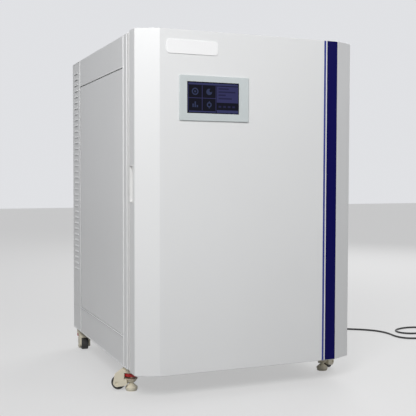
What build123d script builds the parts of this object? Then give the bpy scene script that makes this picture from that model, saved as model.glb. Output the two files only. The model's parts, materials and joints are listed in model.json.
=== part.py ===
"""Floor-standing carbon dioxide incubator, one solid model in millimetres.

The row frame is +Z up, +X to the right seen from the front, and the front faces -Y. The origin lies
on the floor under the middle of the body. Each function below makes one sub-part in its final place.
"""

from build123d import *

import os
from math import atan, degrees, pi, radians, tan

# Chamber, which the rest is built round
CHAMBER_W, CHAMBER_D, CHAMBER_H = 500.0, 500.0, 650.0
CHAMBER_R = 18.0
SIDE_WALL, CHAMBER_LIFT, CHAMBER_ROOF = 87.0, 150.0, 140.0
CHAMBER_BACKSET, FLANGE_STEP = 40.0, 3.0
INSULATION_GAP, INSULATION_BACK = 23.0, 35.0
INSULATION_LOW, INSULATION_HIGH = 50.0, 32.0
REAR_BAY = 117.0

# Cabinet body
SHEET = 1.2
SEAM = 0.8
CLEARANCE = 68.0
CABINET_INSET = 2.0
TOP_R = 2.5
WIDTH = CHAMBER_W + 2 * SIDE_WALL
DOOR_HEIGHT = CHAMBER_LIFT + CHAMBER_H + CHAMBER_ROOF
CABINET_DEPTH = CHAMBER_BACKSET + CHAMBER_D + INSULATION_BACK + REAR_BAY

# Side of the cabinet: front strip, lift-off panel and rear post
STRIP_END, POST_W = 50.0, 110.0
BAND_LOW, BAND_TOP = 87.0, 90.0
PANEL_FOLD, PANEL_BEVEL = 15.0, 4.0
POST_FOLD, POST_DROP = 38.0, 3.0
LOUVRE_LEN, LOUVRE_PITCH, LOUVRE_RISE, LOUVRE_PROUD, LOUVRE_T = 50.0, 20.0, 7.0, 3.0, 1.0
LOUVRE_COUNT = 35
LOUVRE_FIRST, LOUVRE_INSET = 217.0, 54.0
KEYHOLE_LOW, KEYHOLE_HIGH, KEYHOLE_W = 137.0, 177.0, 5.0

# Base tray and its ribs
TRAY_T = 2.0
RIB_W, RIB_H, RIB_SPACING, RIB_INSET = 24.0, 10.0, 110.0, 60.0

# Front frame round the chamber mouth
FRAME_T, FRAME_R = 12.0, 4.0
MOUTH_RIM, MOUTH_R, SLEEVE_T = 35.0, 10.0, 4.0
SEAL_GROW, SEAL_BORE, SEAL_R = 16.0, 4.0, 24.0

# Outer door
DOOR_THICK = 75.0
DOOR_GAP = 10.0
CHAMFER_WIDTH, CHAMFER_DEPTH = 62.0, 30.0
BEND_R, TOP_EDGE_R = 3.0, 1.2
DOOR_FLAT = WIDTH - 2 * CHAMFER_WIDTH
DOOR_LINER = 3.0
LINER_BULGE, LINER_INSET, LINER_R = 8.0, 12.0, 22.0
GASKET_OUT, GASKET_W, GASKET_R = 8.0, 14.0, 8.0
FIT = 0.2
RUN_CLEAR = 0.05
SEAL_CLEAR = 0.3

# Outer door's hinges
HINGE_INSET, HINGE_BACK = 8.0, 5.0
HINGE_PIN_R, HINGE_PIN_LEN = 4.0, 14.0
HINGE_NOTCH, HINGE_BLOCK, HINGE_PLATE = 18.0, 20.0, 6.0
HINGE_EYE_R, HINGE_REACH, HINGE_EAR = 7.0, 18.0, 16.0
HINGE_FOOT_T = 2.5
NOTCH_X, NOTCH_Y = 26.0, 16.0

# Screen, badge and stripes on the outer door, from its flat's left or right edge and its top
BEZEL_W, BEZEL_H, BEZEL_T = 206.0, 123.0, 4.0
BEZEL_LEFT, BEZEL_DROP = 55.1, 121.7
BEZEL_R, BEZEL_EDGE = 3.0, 1.2
SCREEN_W, SCREEN_H, SCREEN_T, SCREEN_SINK = 154.1, 85.9, 1.0, 0.6
SCREEN_SHIFT_X, SCREEN_SHIFT_Z = -4.1, 1.8
BADGE_W, BADGE_H, BADGE_T = 150.0, 38.0, 2.0
BADGE_LEFT, BADGE_DROP = 18.6, 27.6
BADGE_R, BADGE_EDGE = 9.0, 0.8
STRIPE_T, STRIPE_EDGE = 0.4, 1.0
WIDE_STRIPE_W, STRIPE_SPACE, THIN_STRIPE_W = 34.0, 4.0, 6.0

# Handle recess in the left edge of the outer door
HANDLE_RISE, HANDLE_BACK = 522.5, 18.5
HANDLE_W, HANDLE_H, HANDLE_DEPTH = 33.0, 104.0, 24.0
HANDLE_FLANGE_T, HANDLE_LIP, HANDLE_WALL, HANDLE_TAPER = 1.0, 1.5, 2.0, 15.0

# Inner glass door
GLASS_T, GLASS_CLEAR, GLASS_R = 6.0, 9.0, 8.0
GLASS_STANDOFF = 6.0
INNER_PIN_R, INNER_EYE_R = 3.0, 4.5
INNER_HINGE_INSET, GLASS_HINGE_GAP = 7.5, 6.0
INNER_HINGE_END, INNER_HINGE_HALF = 90.0, 20.0
INNER_LUG_T, INNER_LUG_R = 7.0, 4.0
CLAMP_REACH, CLAMP_T = 34.0, 3.0
KNOB_R, KNOB_GRIP_R, KNOB_INSET, SPINDLE_R = 17.0, 10.0, 10.0, 4.9

# Shelves, racks and pan
SHELF_MARGIN, SHELF_FRONT, SHELF_BACK = 11.0, 40.0, 43.0
SHELF_T, SHELF_LIP = 1.5, 14.0
SHELF_LEVELS = (170.0, 320.0, 470.0)
SLOT_ROW_COUNT, SLOT_COLUMN_COUNT = 9, 4
SLOT_BORDER_X, SLOT_BORDER_Y, SLOT_BRIDGE = 10.0, 20.0, 16.0
RACK_T, RACK_FRONT, RACK_BACK, RACK_RISE = 2.0, 50.0, 47.0, 60.0
RACK_POST_W, RACK_POST_IN = 18.0, 55.0
RAIL_REACH, RAIL_T, RAIL_BELOW, RAIL_ABOVE = 16.0, 2.0, 16.0, 6.0
PAN_MARGIN, PAN_FRONT, PAN_BACK = 50.0, 60.0, 63.0
PAN_H, PAN_R, PAN_WALL, PAN_RIM = 45.0, 20.0, 2.0, 8.0

# Air circulation
DUCT_MARGIN, DUCT_STANDOFF, DUCT_LOW, DUCT_TOP, DUCT_R = 80.0, 25.0, 30.0, 25.0, 6.0
DUCT_SLOT_COUNT = 6
DUCT_SLOT_FIRST, DUCT_SLOT_PITCH, DUCT_SLOT_IN, DUCT_SLOT_EDGE, DUCT_SLOT_H = 40.0, 55.0, 50.0, 30.0, 8.0
FAN_DROP = 110.0
IMPELLER_R, IMPELLER_T, HUB_R, BLADE_T = 52.0, 14.0, 11.0, 1.6
BLADE_COUNT = 8
SHAFT_R, SHAFT_CLEAR, SHAFT_SETBACK = 4.0, 4.0, 5.0
MOTOR_R, MOTOR_LEN, MOTOR_PLATE, MOTOR_PLATE_T = 38.0, 50.0, 92.0, 3.0
FILTER_R, FILTER_LEN, FILTER_RING = 55.0, 28.0, 9.0
PLEAT_COUNT = 3
PLEAT_PITCH, PLEAT_W, PLEAT_DEPTH = 7.0, 3.0, 4.0
SENSOR_MARGIN, SENSOR_UP, PROBE_DOWN = 45.0, 20.0, 35.0
SENSOR_R, SENSOR_CAP_R, SENSOR_LEN, PROBE_R, PROBE_CAP_R, PROBE_LEN = 14.0, 22.0, 58.0, 3.0, 10.0, 70.0

# Control board above the insulation: outline, stand-offs and its tall parts as x, y, width, depth, height
BOARD_W, BOARD_D, BOARD_T, BOARD_LIFT, BOARD_EDGE, STANDOFF_R = 260.0, 180.0, 2.0, 10.0, 10.0, 4.0
BOARD_PARTS = [
    (-90.0, -40.0, 50.0, 40.0, 28.0),
    (-20.0, -50.0, 36.0, 36.0, 18.0),
    (50.0, -40.0, 60.0, 30.0, 22.0),
    (-70.0, 45.0, 70.0, 30.0, 16.0),
    (60.0, 40.0, 80.0, 45.0, 10.0),
]

# Rear services
PORT_R, PORT_WALL, PORT_COLLAR, PORT_LIP = 21.0, 3.0, 6.0, 5.0
PORT_MARGIN, PORT_DROP = 45.0, 308.0
STOPPER_LEN, STOPPER_HEAD, STOPPER_HEAD_R = 35.0, 10.0, 26.0
HOLE_CLEAR = 0.3
GAS_MARGIN, GAS_DROP = 45.0, 33.0
BARB_PROUD, BARB_R, BARB_TIP_R, BARB_STEM_R, BARB_BORE_R = 24.0, 5.2, 4.0, 3.8, 2.0
BARB_COUNT = 3
BARB_FIRST, BARB_PITCH, BARB_LEN = 8.5, 6.0, 5.0
BARB_FLANGE_R, BARB_FLANGE_T, BULKHEAD_R, BULKHEAD_T = 12.0, 6.0, 8.0, 2.0
VALVE_W, VALVE_H, VALVE_STANDOFF, COIL_R, COIL_H = 32.0, 44.0, 12.0, 13.0, 30.0
INLET_MARGIN, INLET_RISE = 105.0, 144.0
INLET_W, INLET_H, INLET_FLANGE_W, INLET_FLANGE_H = 28.0, 20.0, 48.0, 28.0
INLET_WALL, INLET_DEPTH, INLET_MOUTH, INLET_FLANGE_T = 2.0, 24.0, 16.0, 2.0
INLET_PINS = ((-7.0, -2.0), (7.0, -2.0), (0.0, 2.0))
PIN_W, PIN_H, PIN_SINK = 2.0, 4.0, 3.0
ROCKER_SPACE, ROCKER_W, ROCKER_H, ROCKER_CLEAR = 60.0, 18.0, 26.0, 0.4
ROCKER_FLANGE, ROCKER_WALL, ROCKER_DEPTH, ROCKER_PIN_R, ROCKER_SINK = 5.0, 2.0, 20.0, 2.2, 2.0
VENT_COUNT = 8
VENT_PITCH, VENT_LEN, VENT_H = 10.0, 90.0, 4.0
SCREW_R, SCREW_T, SCREW_EDGE, SCREW_ROWS = 4.2, 2.4, 9.0, 5

# Levelling casters
CASTER_INSET, CASTER_FRONT, CASTER_REAR = 23.5, 53.0, 38.5
PLATE_W, PLATE_D, PLATE_T, PLATE_TOP, PLATE_R = 43.0, 72.0, 4.0, 90.0, 6.0
STUB_R, STUB_LEN, BOLT_R, BOLT_H, BOLT_ACROSS, BOLT_ALONG = 10.0, 8.0, 4.5, 3.5, 26.0, 56.0
HEAD_CLEAR, HEAD_R = 1.0, 21.0
WHEEL_R, WHEEL_W, WHEEL_LIFT, WHEEL_EDGE = 20.0, 22.0, 2.0, 2.5
WHEEL_DISH, WHEEL_RIM, WHEEL_HUB = 3.0, 6.0, 4.0
TRAIL = 38.0
CHEEK_T, WHEEL_GAP, ARCH_GAP = 7.0, 0.6, 2.0
BOSS_R, BOSS_SINK = 11.0, 3.0
AXLE_R = 4.0
SHOULDER_Z, BROW_Z, HEEL_Z = 65.0, 53.0, 16.0
WINDOW_LOW, WINDOW_HIGH, WINDOW_END = 35.0, 53.0, 16.0
COLLAR_R, COLLAR_LOW_R, COLLAR_LOW = 18.0, 10.0, 24.5
FOOT_UP, FOOT_CLEAR = 6.0, 0.4
FOOT_R, FOOT_SOLE_R, FOOT_SOLE, FOOT_RIM, FOOT_TOP, STEM_R, STEM_TOP = 17.5, 15.5, 2.0, 12.0, 18.0, 6.0, 66.0
THUMB_R, THUMB_LOW, THUMB_HIGH = 20.0, 42.5, 51.5
NOTCH_COUNT = 12
THUMB_NOTCH_R, THUMB_GAP = 2.2, 1.5
FRONT_SWIVEL, REAR_SWIVEL = 145.0, -95.0

# Mains lead: its route starts behind the inlet, LEAD_STUB out from the rear panel
CORD_R = 3.5
CORD_FLOOR = 3.6
LEAD_STUB = 50.0
CORD_POINTS = [
    (232.0, 428.5, 212.0),
    (232.0, 474.0, 212.0),
    (236.0, 516.0, 186.0),
    (246.0, 538.0, 136.0),
    (256.0, 542.0, 88.0),
    (274.0, 535.0, 42.0),
    (308.0, 519.0, 11.0),
    (360.0, 494.0, CORD_FLOOR),
    (428.0, 446.0, CORD_FLOOR),
    (512.0, 398.0, CORD_FLOOR),
    (598.0, 352.0, CORD_FLOOR),
    (676.0, 300.0, CORD_FLOOR),
    (733.0, 260.0, CORD_FLOOR),
    (786.0, 226.0, CORD_FLOOR),
    (828.0, 180.0, CORD_FLOOR),
    (839.0, 126.0, CORD_FLOOR),
    (829.0, 68.0, CORD_FLOOR),
    (844.0, 26.0, CORD_FLOOR),
    (888.0, 6.0, CORD_FLOOR),
    (938.0, -6.0, CORD_FLOOR),
    (984.0, -6.0, CORD_FLOOR),
    (1014.0, 22.0, CORD_FLOOR),
    (1018.0, 64.0, CORD_FLOOR),
    (986.0, 92.0, CORD_FLOOR),
    (944.0, 84.0, CORD_FLOOR),
    (904.0, 96.0, CORD_FLOOR),
    (884.0, 132.0, CORD_FLOOR),
    (900.0, 170.0, CORD_FLOOR),
    (944.0, 192.0, CORD_FLOOR),
    (994.0, 196.0, CORD_FLOOR),
    (1034.0, 174.0, CORD_FLOOR),
    (1054.0, 134.0, CORD_FLOOR),
    (1056.0, 92.0, CORD_FLOOR),
]
GRIP_W, GRIP_H, GRIP_LEN, GRIP_R, RELIEF_R = 26.0, 18.0, 21.8, 4.0, 8.5
NOSE_CLEAR, NOSE_IN, PIN_CLEAR = 0.4, 13.0, 0.4
PLUG_W, PLUG_LEN, PLUG_H, PLUG_R, PLUG_NECK = 34.0, 34.0, 24.0, 6.0, 24.0
BLADE_LEN, BLADE_SPREAD, BLADE_H, EARTH_LEN, EARTH_W = 18.0, 8.0, 7.0, 20.0, 4.0

# Planes worked out from the sizes above
OVERALL_DEPTH = BEZEL_T + DOOR_THICK + DOOR_GAP + CABINET_DEPTH + BARB_PROUD
Y_FACE = BEZEL_T - OVERALL_DEPTH / 2
Y_DOOR_BACK = Y_FACE + DOOR_THICK
Y_CAB = Y_DOOR_BACK + DOOR_GAP
Y_REAR = Y_CAB + CABINET_DEPTH
Y_SKIN = Y_REAR - SHEET
X_SIDE = WIDTH / 2
X_FLAT = DOOR_FLAT / 2
Z_DOOR, Z_DOOR_TOP = CLEARANCE, CLEARANCE + DOOR_HEIGHT
Z_CAB, Z_CAB_TOP = Z_DOOR + CABINET_INSET, Z_DOOR_TOP - CABINET_INSET
Y_STRIP, Y_POST = Y_CAB + STRIP_END, Y_REAR - POST_W
Z_BAND_LOW, Z_BAND_TOP = CLEARANCE + BAND_LOW, Z_DOOR_TOP - BAND_TOP
Z_POST_TOP = Z_CAB_TOP - SHEET - POST_DROP
Y_LOUVRE = Y_REAR - LOUVRE_INSET
X_CH = CHAMBER_W / 2
Z_CH, Z_CH_TOP = CLEARANCE + CHAMBER_LIFT, CLEARANCE + CHAMBER_LIFT + CHAMBER_H
Z_CH_MID = (Z_CH + Z_CH_TOP) / 2
Y_MOUTH = Y_CAB + CHAMBER_BACKSET - FLANGE_STEP
Y_CH_BACK = Y_CAB + CHAMBER_BACKSET + CHAMBER_D
Y_DUCT = Y_CH_BACK - DUCT_STANDOFF
X_RIM = X_CH + MOUTH_RIM
Z_RIM, Z_RIM_TOP = Z_CH - MOUTH_RIM, Z_CH_TOP + MOUTH_RIM
X_INS = X_SIDE - INSULATION_GAP
Y_INS_BACK = Y_CH_BACK + INSULATION_BACK
Z_INS, Z_INS_TOP = Z_CH - INSULATION_LOW, Z_CH_TOP + INSULATION_HIGH
Z_FAN = Z_CH_TOP - FAN_DROP
X_HINGE, Y_HINGE = X_SIDE - HINGE_INSET, Y_DOOR_BACK - HINGE_BACK
Y_GLASS = Y_MOUTH - GLASS_STANDOFF - GLASS_T
X_INNER_HINGE, Y_INNER_HINGE = X_RIM - INNER_HINGE_INSET, Y_GLASS + GLASS_T / 2
X_KNOB = -X_CH - KNOB_INSET
Z_HANDLE, Y_HANDLE = CLEARANCE + HANDLE_RISE, Y_DOOR_BACK - HANDLE_BACK
X_BEZEL, Z_BEZEL = -X_FLAT + BEZEL_LEFT + BEZEL_W / 2, Z_DOOR_TOP - BEZEL_DROP - BEZEL_H / 2
X_SCREEN, Z_SCREEN = X_BEZEL + SCREEN_SHIFT_X, Z_BEZEL + SCREEN_SHIFT_Z
X_BADGE, Z_BADGE = -X_FLAT + BADGE_LEFT + BADGE_W / 2, Z_DOOR_TOP - BADGE_DROP - BADGE_H / 2
SHELF_W = CHAMBER_W - 2 * SHELF_MARGIN
Y_SHELF, Y_SHELF_BACK = Y_MOUTH + SHELF_FRONT, Y_CH_BACK - SHELF_BACK
PAN_W = CHAMBER_W - 2 * PAN_MARGIN
Y_PAN, Y_PAN_BACK = Y_MOUTH + PAN_FRONT, Y_CH_BACK - PAN_BACK
X_DUCT = X_CH - DUCT_MARGIN
X_SENSOR = X_CH - SENSOR_MARGIN
X_PORT, Z_PORT = -X_CH + PORT_MARGIN, Z_CH_TOP - PORT_DROP
X_GAS, Z_GAS = X_CH - GAS_MARGIN, Z_CH_TOP - GAS_DROP
X_INLET, Z_INLET = X_SIDE - INLET_MARGIN, CLEARANCE + INLET_RISE
X_ROCKER = X_INLET - ROCKER_SPACE
CASTER_X = X_SIDE - CASTER_INSET
Z_AXLE = WHEEL_R + WHEEL_LIFT
CASTER_HALF = WHEEL_W / 2 + WHEEL_GAP + CHEEK_T
Z_PLATE = PLATE_TOP - PLATE_T
Z_HEAD = Z_PLATE - HEAD_CLEAR


def block(x0, x1, y0, y1, z0, z1):
    """A box between two corners."""
    middle = Pos((x0 + x1) / 2, (y0 + y1) / 2, (z0 + z1) / 2)
    return middle * Box(abs(x1 - x0), abs(y1 - y0), abs(z1 - z0))


def plate_at(x, z, w, h, y0, y1):
    """An upright box about a point, from its width and height."""
    return block(x - w / 2, x + w / 2, y0, y1, z - h / 2, z + h / 2)


def rod(x, y, z0, z1, r):
    """An upright cylinder."""
    return Pos(x, y, (z0 + z1) / 2) * Cylinder(r, z1 - z0)


def rod_y(x, z, y0, y1, r):
    """A cylinder along Y."""
    return Pos(x, (y0 + y1) / 2, z) * Rot(90, 0, 0) * Cylinder(r, y1 - y0)


def round_panel(x0, x1, z0, z1, y0, y1, r):
    """An upright plate with rounded corners, facing along Y."""
    face = Plane.XZ * RectangleRounded(x1 - x0, z1 - z0, r)
    return Pos((x0 + x1) / 2, y1, (z0 + z1) / 2) * extrude(face, y1 - y0)


def both_sides(shape):
    """The shape and its mirror image across the middle plane."""
    return shape, mirror(shape, Plane.YZ)


# Cabinet body


def cabinet_shell():
    """Welded outer shell: top, base bands and front strips, with windows for panels and posts."""
    y0 = Y_CAB + FRAME_T
    outer = block(-X_SIDE, X_SIDE, y0, Y_REAR, Z_CAB, Z_CAB_TOP)
    outer = fillet(outer.edges().filter_by(Axis.Y).group_by(Axis.Z)[-1], TOP_R)
    hollow = block(-X_SIDE + SHEET, X_SIDE - SHEET, y0 - 1, Y_REAR + 1, Z_CAB - 1, Z_CAB_TOP - SHEET)
    window = block(-X_SIDE - 1, X_SIDE + 1, Y_STRIP, Y_POST, Z_BAND_LOW, Z_BAND_TOP)
    post = block(-X_SIDE - 1, X_SIDE + 1, Y_POST, Y_REAR + 1, Z_BAND_LOW, Z_POST_TOP)
    shell = outer - hollow - window - post
    for sign in (-1, 1):
        ends = (sign * (X_SIDE - SHEET - PANEL_FOLD), sign * (X_SIDE - SHEET))
        shell += block(*ends, Y_STRIP - SHEET, Y_STRIP, Z_BAND_LOW - SHEET, Z_BAND_TOP + SHEET)
        shell += block(*ends, Y_STRIP, Y_REAR - SHEET - SEAM, Z_BAND_LOW - SHEET, Z_BAND_LOW)
        shell += block(*ends, Y_STRIP, Y_POST, Z_BAND_TOP, Z_BAND_TOP + SHEET)
    return shell


def side_panel():
    """Lift-off side panel: a folded pan with bevelled outer edges, in the left window."""
    y0, y1 = Y_STRIP + SEAM, Y_POST - SEAM
    z0, z1 = Z_BAND_LOW + SEAM, Z_BAND_TOP - SEAM
    pan = block(-X_SIDE, -X_SIDE + PANEL_FOLD, y0, y1, z0, z1)
    inside = block(-X_SIDE + SHEET, -X_SIDE + PANEL_FOLD + 1,
                   y0 + SHEET, y1 - SHEET, z0 + SHEET, z1 - SHEET)
    pan = chamfer(pan.faces().sort_by(Axis.X)[0].edges(), PANEL_BEVEL)
    return pan - chamfer(inside.faces().sort_by(Axis.X)[0].edges(), PANEL_BEVEL - 0.6 * SHEET)


def louvre(z):
    """One pressed louvre hood of the left post and the slit under it, which opens downwards."""
    def wedge(inset, drop):
        outline = Polyline((-X_SIDE + SHEET, z), (-X_SIDE - LOUVRE_PROUD + inset, z),
                           (-X_SIDE + SHEET, z + LOUVRE_RISE - drop), close=True)
        side = Plane.XZ * make_face(outline)
        return Pos(0, Y_LOUVRE + LOUVRE_LEN / 2 - inset, 0) * extrude(side, LOUVRE_LEN - 2 * inset)
    return wedge(0.0, 0.0), wedge(LOUVRE_T, 1.6 * LOUVRE_T)


def rear_post():
    """Left rear corner post: folded sheet with a column of pressed louvres and an upright slot."""
    y0, z0, z1 = Y_POST + SEAM, Z_BAND_LOW + SEAM, Z_POST_TOP - SEAM
    post = block(-X_SIDE, -X_SIDE + SHEET, y0, Y_REAR, z0, z1)
    post += block(-X_SIDE, -X_SIDE + POST_FOLD, Y_SKIN, Y_REAR, z0, z1)
    post += block(-X_SIDE, -X_SIDE + PANEL_FOLD, y0, y0 + SHEET, z0, z1)
    pairs = [louvre(CLEARANCE + LOUVRE_FIRST + i * LOUVRE_PITCH) for i in range(LOUVRE_COUNT)]
    post = post + [hood for hood, slit in pairs] - [slit for hood, slit in pairs]
    slot = block(-X_SIDE - 1, -X_SIDE + SHEET + 1, Y_LOUVRE - KEYHOLE_W / 2, Y_LOUVRE + KEYHOLE_W / 2,
                 CLEARANCE + KEYHOLE_LOW, CLEARANCE + KEYHOLE_HIGH)
    return post - slot


def rear_panel():
    """Rear cover between the posts, with a folded rim, holes for the services and fan slots."""
    x = X_SIDE - POST_FOLD - SEAM
    z0, z1 = Z_BAND_LOW + SEAM, Z_CAB_TOP - SHEET - SEAM
    panel = block(-x, x, Y_SKIN, Y_REAR, z0, z1)
    for low in (z0, z1 - SHEET):
        panel += block(-x, x, Y_REAR - PANEL_FOLD, Y_REAR, low, low + SHEET)
    y0, y1 = Y_SKIN - 1, Y_REAR + 1
    panel -= rod_y(X_PORT, Z_PORT, y0, y1, PORT_R + PORT_WALL + HOLE_CLEAR)
    panel -= rod_y(X_GAS, Z_GAS, y0, y1, BULKHEAD_R + HOLE_CLEAR)
    panel -= plate_at(X_INLET, Z_INLET, INLET_W + 2 * HOLE_CLEAR, INLET_H + 2 * HOLE_CLEAR, y0, y1)
    grow = 2 * (ROCKER_WALL + HOLE_CLEAR)
    panel -= plate_at(X_ROCKER, Z_INLET, ROCKER_W + grow, ROCKER_H + grow, y0, y1)
    for i in range(VENT_COUNT):
        z = Z_FAN + (i - (VENT_COUNT - 1) / 2) * VENT_PITCH
        panel -= plate_at(0, z, VENT_LEN, VENT_H, y0, y1)
    return panel


def base_tray():
    """Floor of the cabinet on which the casters are bolted, with three hollow ribs and a rear wall."""
    x = X_SIDE - SHEET - FIT
    y0, y1 = Y_CAB + FRAME_T + FIT, Y_REAR
    tray = block(-x, x, y0, y1, PLATE_TOP, PLATE_TOP + TRAY_T)
    tray += block(-x, x, y1 - SHEET, y1, Z_CAB, Z_BAND_LOW)
    ends = (y0 + RIB_INSET, y1 - RIB_INSET)
    for mid in (-RIB_SPACING, 0, RIB_SPACING):
        rib = block(mid - RIB_W / 2, mid + RIB_W / 2, *ends, PLATE_TOP - RIB_H, PLATE_TOP)
        inner = RIB_W / 2 - TRAY_T
        tray += rib - block(mid - inner, mid + inner, ends[0] - 1, ends[1] + 1,
                            PLATE_TOP - RIB_H + TRAY_T, PLATE_TOP)
    return tray


def inner_hinge_heights():
    """Heights of the middle of the glass door's two hinges."""
    return Z_RIM + INNER_HINGE_END, Z_RIM_TOP - INNER_HINGE_END


def front_frame():
    """Moulded frame round the chamber mouth, with the recess, lugs and pins that take the glass door."""
    frame = round_panel(-X_SIDE, X_SIDE, Z_CAB, Z_CAB_TOP, Y_CAB, Y_CAB + FRAME_T, FRAME_R)
    frame += round_panel(-X_RIM - SLEEVE_T, X_RIM + SLEEVE_T, Z_RIM - SLEEVE_T, Z_RIM_TOP + SLEEVE_T,
                         Y_CAB, Y_MOUTH, MOUTH_R + SLEEVE_T)
    frame -= round_panel(-X_RIM, X_RIM, Z_RIM, Z_RIM_TOP, Y_CAB - 1, Y_MOUTH + 1, MOUTH_R)
    near, far = INNER_HINGE_HALF + SEAL_CLEAR, INNER_HINGE_HALF + SEAL_CLEAR + INNER_LUG_T
    for z in inner_hinge_heights():
        for low, high in ((z - far, z - near), (z + near, z + far)):
            frame += block(X_INNER_HINGE, X_RIM, Y_INNER_HINGE - INNER_LUG_R, Y_INNER_HINGE + INNER_LUG_R,
                           low, high)
            frame += rod(X_INNER_HINGE, Y_INNER_HINGE, low, high, INNER_LUG_R)
        frame += rod(X_INNER_HINGE, Y_INNER_HINGE, z - far, z + far, INNER_PIN_R)
    return frame


def services_cut():
    """Holes that the shaft, the access port and the gas tube need behind the chamber."""
    y0, y1 = Y_CH_BACK - 1, Y_INS_BACK + 1
    cut = rod_y(0, Z_FAN, y0, y1, SHAFT_R + SHAFT_CLEAR)
    cut += rod_y(X_PORT, Z_PORT, y0, y1, PORT_R + PORT_WALL + HOLE_CLEAR)
    return cut + rod_y(X_GAS, Z_GAS, y0, y1, BARB_TIP_R + HOLE_CLEAR)


def liner_outline(y0, y1):
    """Outside of the liner's box between two planes."""
    t = SHEET
    return round_panel(-X_CH - t, X_CH + t, Z_CH - t, Z_CH_TOP + t, y0, y1, CHAMBER_R + t)


def chamber_liner():
    """Stainless chamber with coved corners and a front flange."""
    flange = round_panel(-X_RIM - SLEEVE_T, X_RIM + SLEEVE_T, Z_RIM - SLEEVE_T, Z_RIM_TOP + SLEEVE_T,
                         Y_MOUTH, Y_MOUTH + SHEET, MOUTH_R)
    inside = round_panel(-X_CH, X_CH, Z_CH, Z_CH_TOP, Y_MOUTH - 1, Y_CH_BACK, CHAMBER_R)
    return liner_outline(Y_MOUTH, Y_CH_BACK + SHEET) + flange - inside - services_cut()


def chamber_insulation():
    """Foam jacket round the liner."""
    y0 = Y_MOUTH + SHEET
    jacket = block(-X_INS, X_INS, y0, Y_INS_BACK, Z_INS, Z_INS_TOP)
    return jacket - liner_outline(y0 - 1, Y_CH_BACK + SHEET) - services_cut()


def inner_door_seal():
    """Silicone gasket on the chamber's front flange, which the glass door meets."""
    y0 = Y_GLASS + GLASS_T + SEAL_CLEAR
    out, bore = SEAL_GROW, SEAL_BORE
    ring = round_panel(-X_CH - out, X_CH + out, Z_CH - out, Z_CH_TOP + out, y0, Y_MOUTH, SEAL_R)
    return ring - round_panel(-X_CH - bore, X_CH + bore, Z_CH - bore, Z_CH_TOP + bore,
                              y0 - 1, Y_MOUTH + 1, SEAL_R - out + bore)


def shelf_racks():
    """A pair of ladder racks: two posts each and an L-shaped runner at every shelf level."""
    y0, y1 = Y_MOUTH + RACK_FRONT, Y_CH_BACK - RACK_BACK
    rack = []
    for y in (y0 + RACK_POST_IN, y1 - RACK_POST_IN):
        rack.append(block(-X_CH, -X_CH + RACK_T, y - RACK_POST_W / 2, y + RACK_POST_W / 2,
                          Z_CH + RACK_RISE, Z_CH_TOP - RACK_RISE))
    for level in SHELF_LEVELS:
        z = Z_CH + level
        rack.append(block(-X_CH, -X_CH + RACK_T, y0, y1, z - RAIL_BELOW, z + RAIL_ABOVE))
        rack.append(block(-X_CH, -X_CH + RAIL_REACH, y0, y1, z - RAIL_T, z))
    side = rack[0] + rack[1:]
    return Compound(children=list(both_sides(side)))


def shelf(level):
    """Slotted shelf with turned-down front and rear lips."""
    y0, y1 = Y_SHELF, Y_SHELF_BACK
    z = Z_CH + level + SEAL_CLEAR
    inner = X_CH - RAIL_REACH - 1
    plate = block(-SHELF_W / 2, SHELF_W / 2, y0, y1, z, z + SHELF_T)
    for y in (y0, y1 - SHELF_T):
        plate += block(-inner, inner, y, y + SHELF_T, z - SHELF_LIP, z + SHELF_T)
    pitch_x = 2 * (inner - SLOT_BORDER_X) / SLOT_COLUMN_COUNT
    pitch_y = (y1 - y0 - 2 * SLOT_BORDER_Y) / SLOT_ROW_COUNT
    slot = extrude(SlotOverall(pitch_x - SLOT_BRIDGE, 0.4 * pitch_y), SHELF_T + 2)
    middle = Pos(0, (y0 + y1) / 2, z - 1)
    places = GridLocations(pitch_x, pitch_y, SLOT_COLUMN_COUNT, SLOT_ROW_COUNT)
    return plate - [middle * place * slot for place in places]


def water_pan():
    """Humidity pan on the chamber floor, with a rolled rim."""
    mid = Pos(0, (Y_PAN + Y_PAN_BACK) / 2, Z_CH + SEAL_CLEAR)
    depth = Y_PAN_BACK - Y_PAN
    pan = mid * extrude(RectangleRounded(PAN_W, depth, PAN_R), PAN_H)
    rim = extrude(RectangleRounded(PAN_W + 2 * PAN_RIM, depth + 2 * PAN_RIM, PAN_R + PAN_RIM), PAN_WALL)
    well = extrude(RectangleRounded(PAN_W - 2 * PAN_WALL, depth - 2 * PAN_WALL, PAN_R - PAN_WALL), PAN_H)
    return pan + mid * Pos(0, 0, PAN_H - PAN_WALL) * rim - mid * Pos(0, 0, PAN_WALL) * well


def air_duct_cover():
    """Folded cover in front of the rear wall, with an intake ring and outlet slots."""
    z0, z1 = Z_CH + DUCT_LOW, Z_CH_TOP - DUCT_TOP
    cover = block(-X_DUCT, X_DUCT, Y_DUCT, Y_CH_BACK, z0, z1)
    cover = fillet(cover.edges().filter_by(Axis.Z).group_by(Axis.Y)[0], DUCT_R)
    cover -= block(-X_DUCT + SHEET, X_DUCT - SHEET, Y_DUCT + SHEET, Y_CH_BACK + 1, z0 + SHEET, z1 - SHEET)
    y0, y1 = Y_DUCT - 1, Y_DUCT + SHEET + 1
    cover -= rod_y(0, Z_FAN, y0, y1, FILTER_R - FILTER_RING)
    for i in range(DUCT_SLOT_COUNT):
        z = z0 + DUCT_SLOT_FIRST + i * DUCT_SLOT_PITCH
        for side in (-1, 1):
            cover -= block(side * DUCT_SLOT_IN, side * (X_DUCT - DUCT_SLOT_EDGE), y0, y1,
                           z - DUCT_SLOT_H / 2, z + DUCT_SLOT_H / 2)
    return cover


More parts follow.
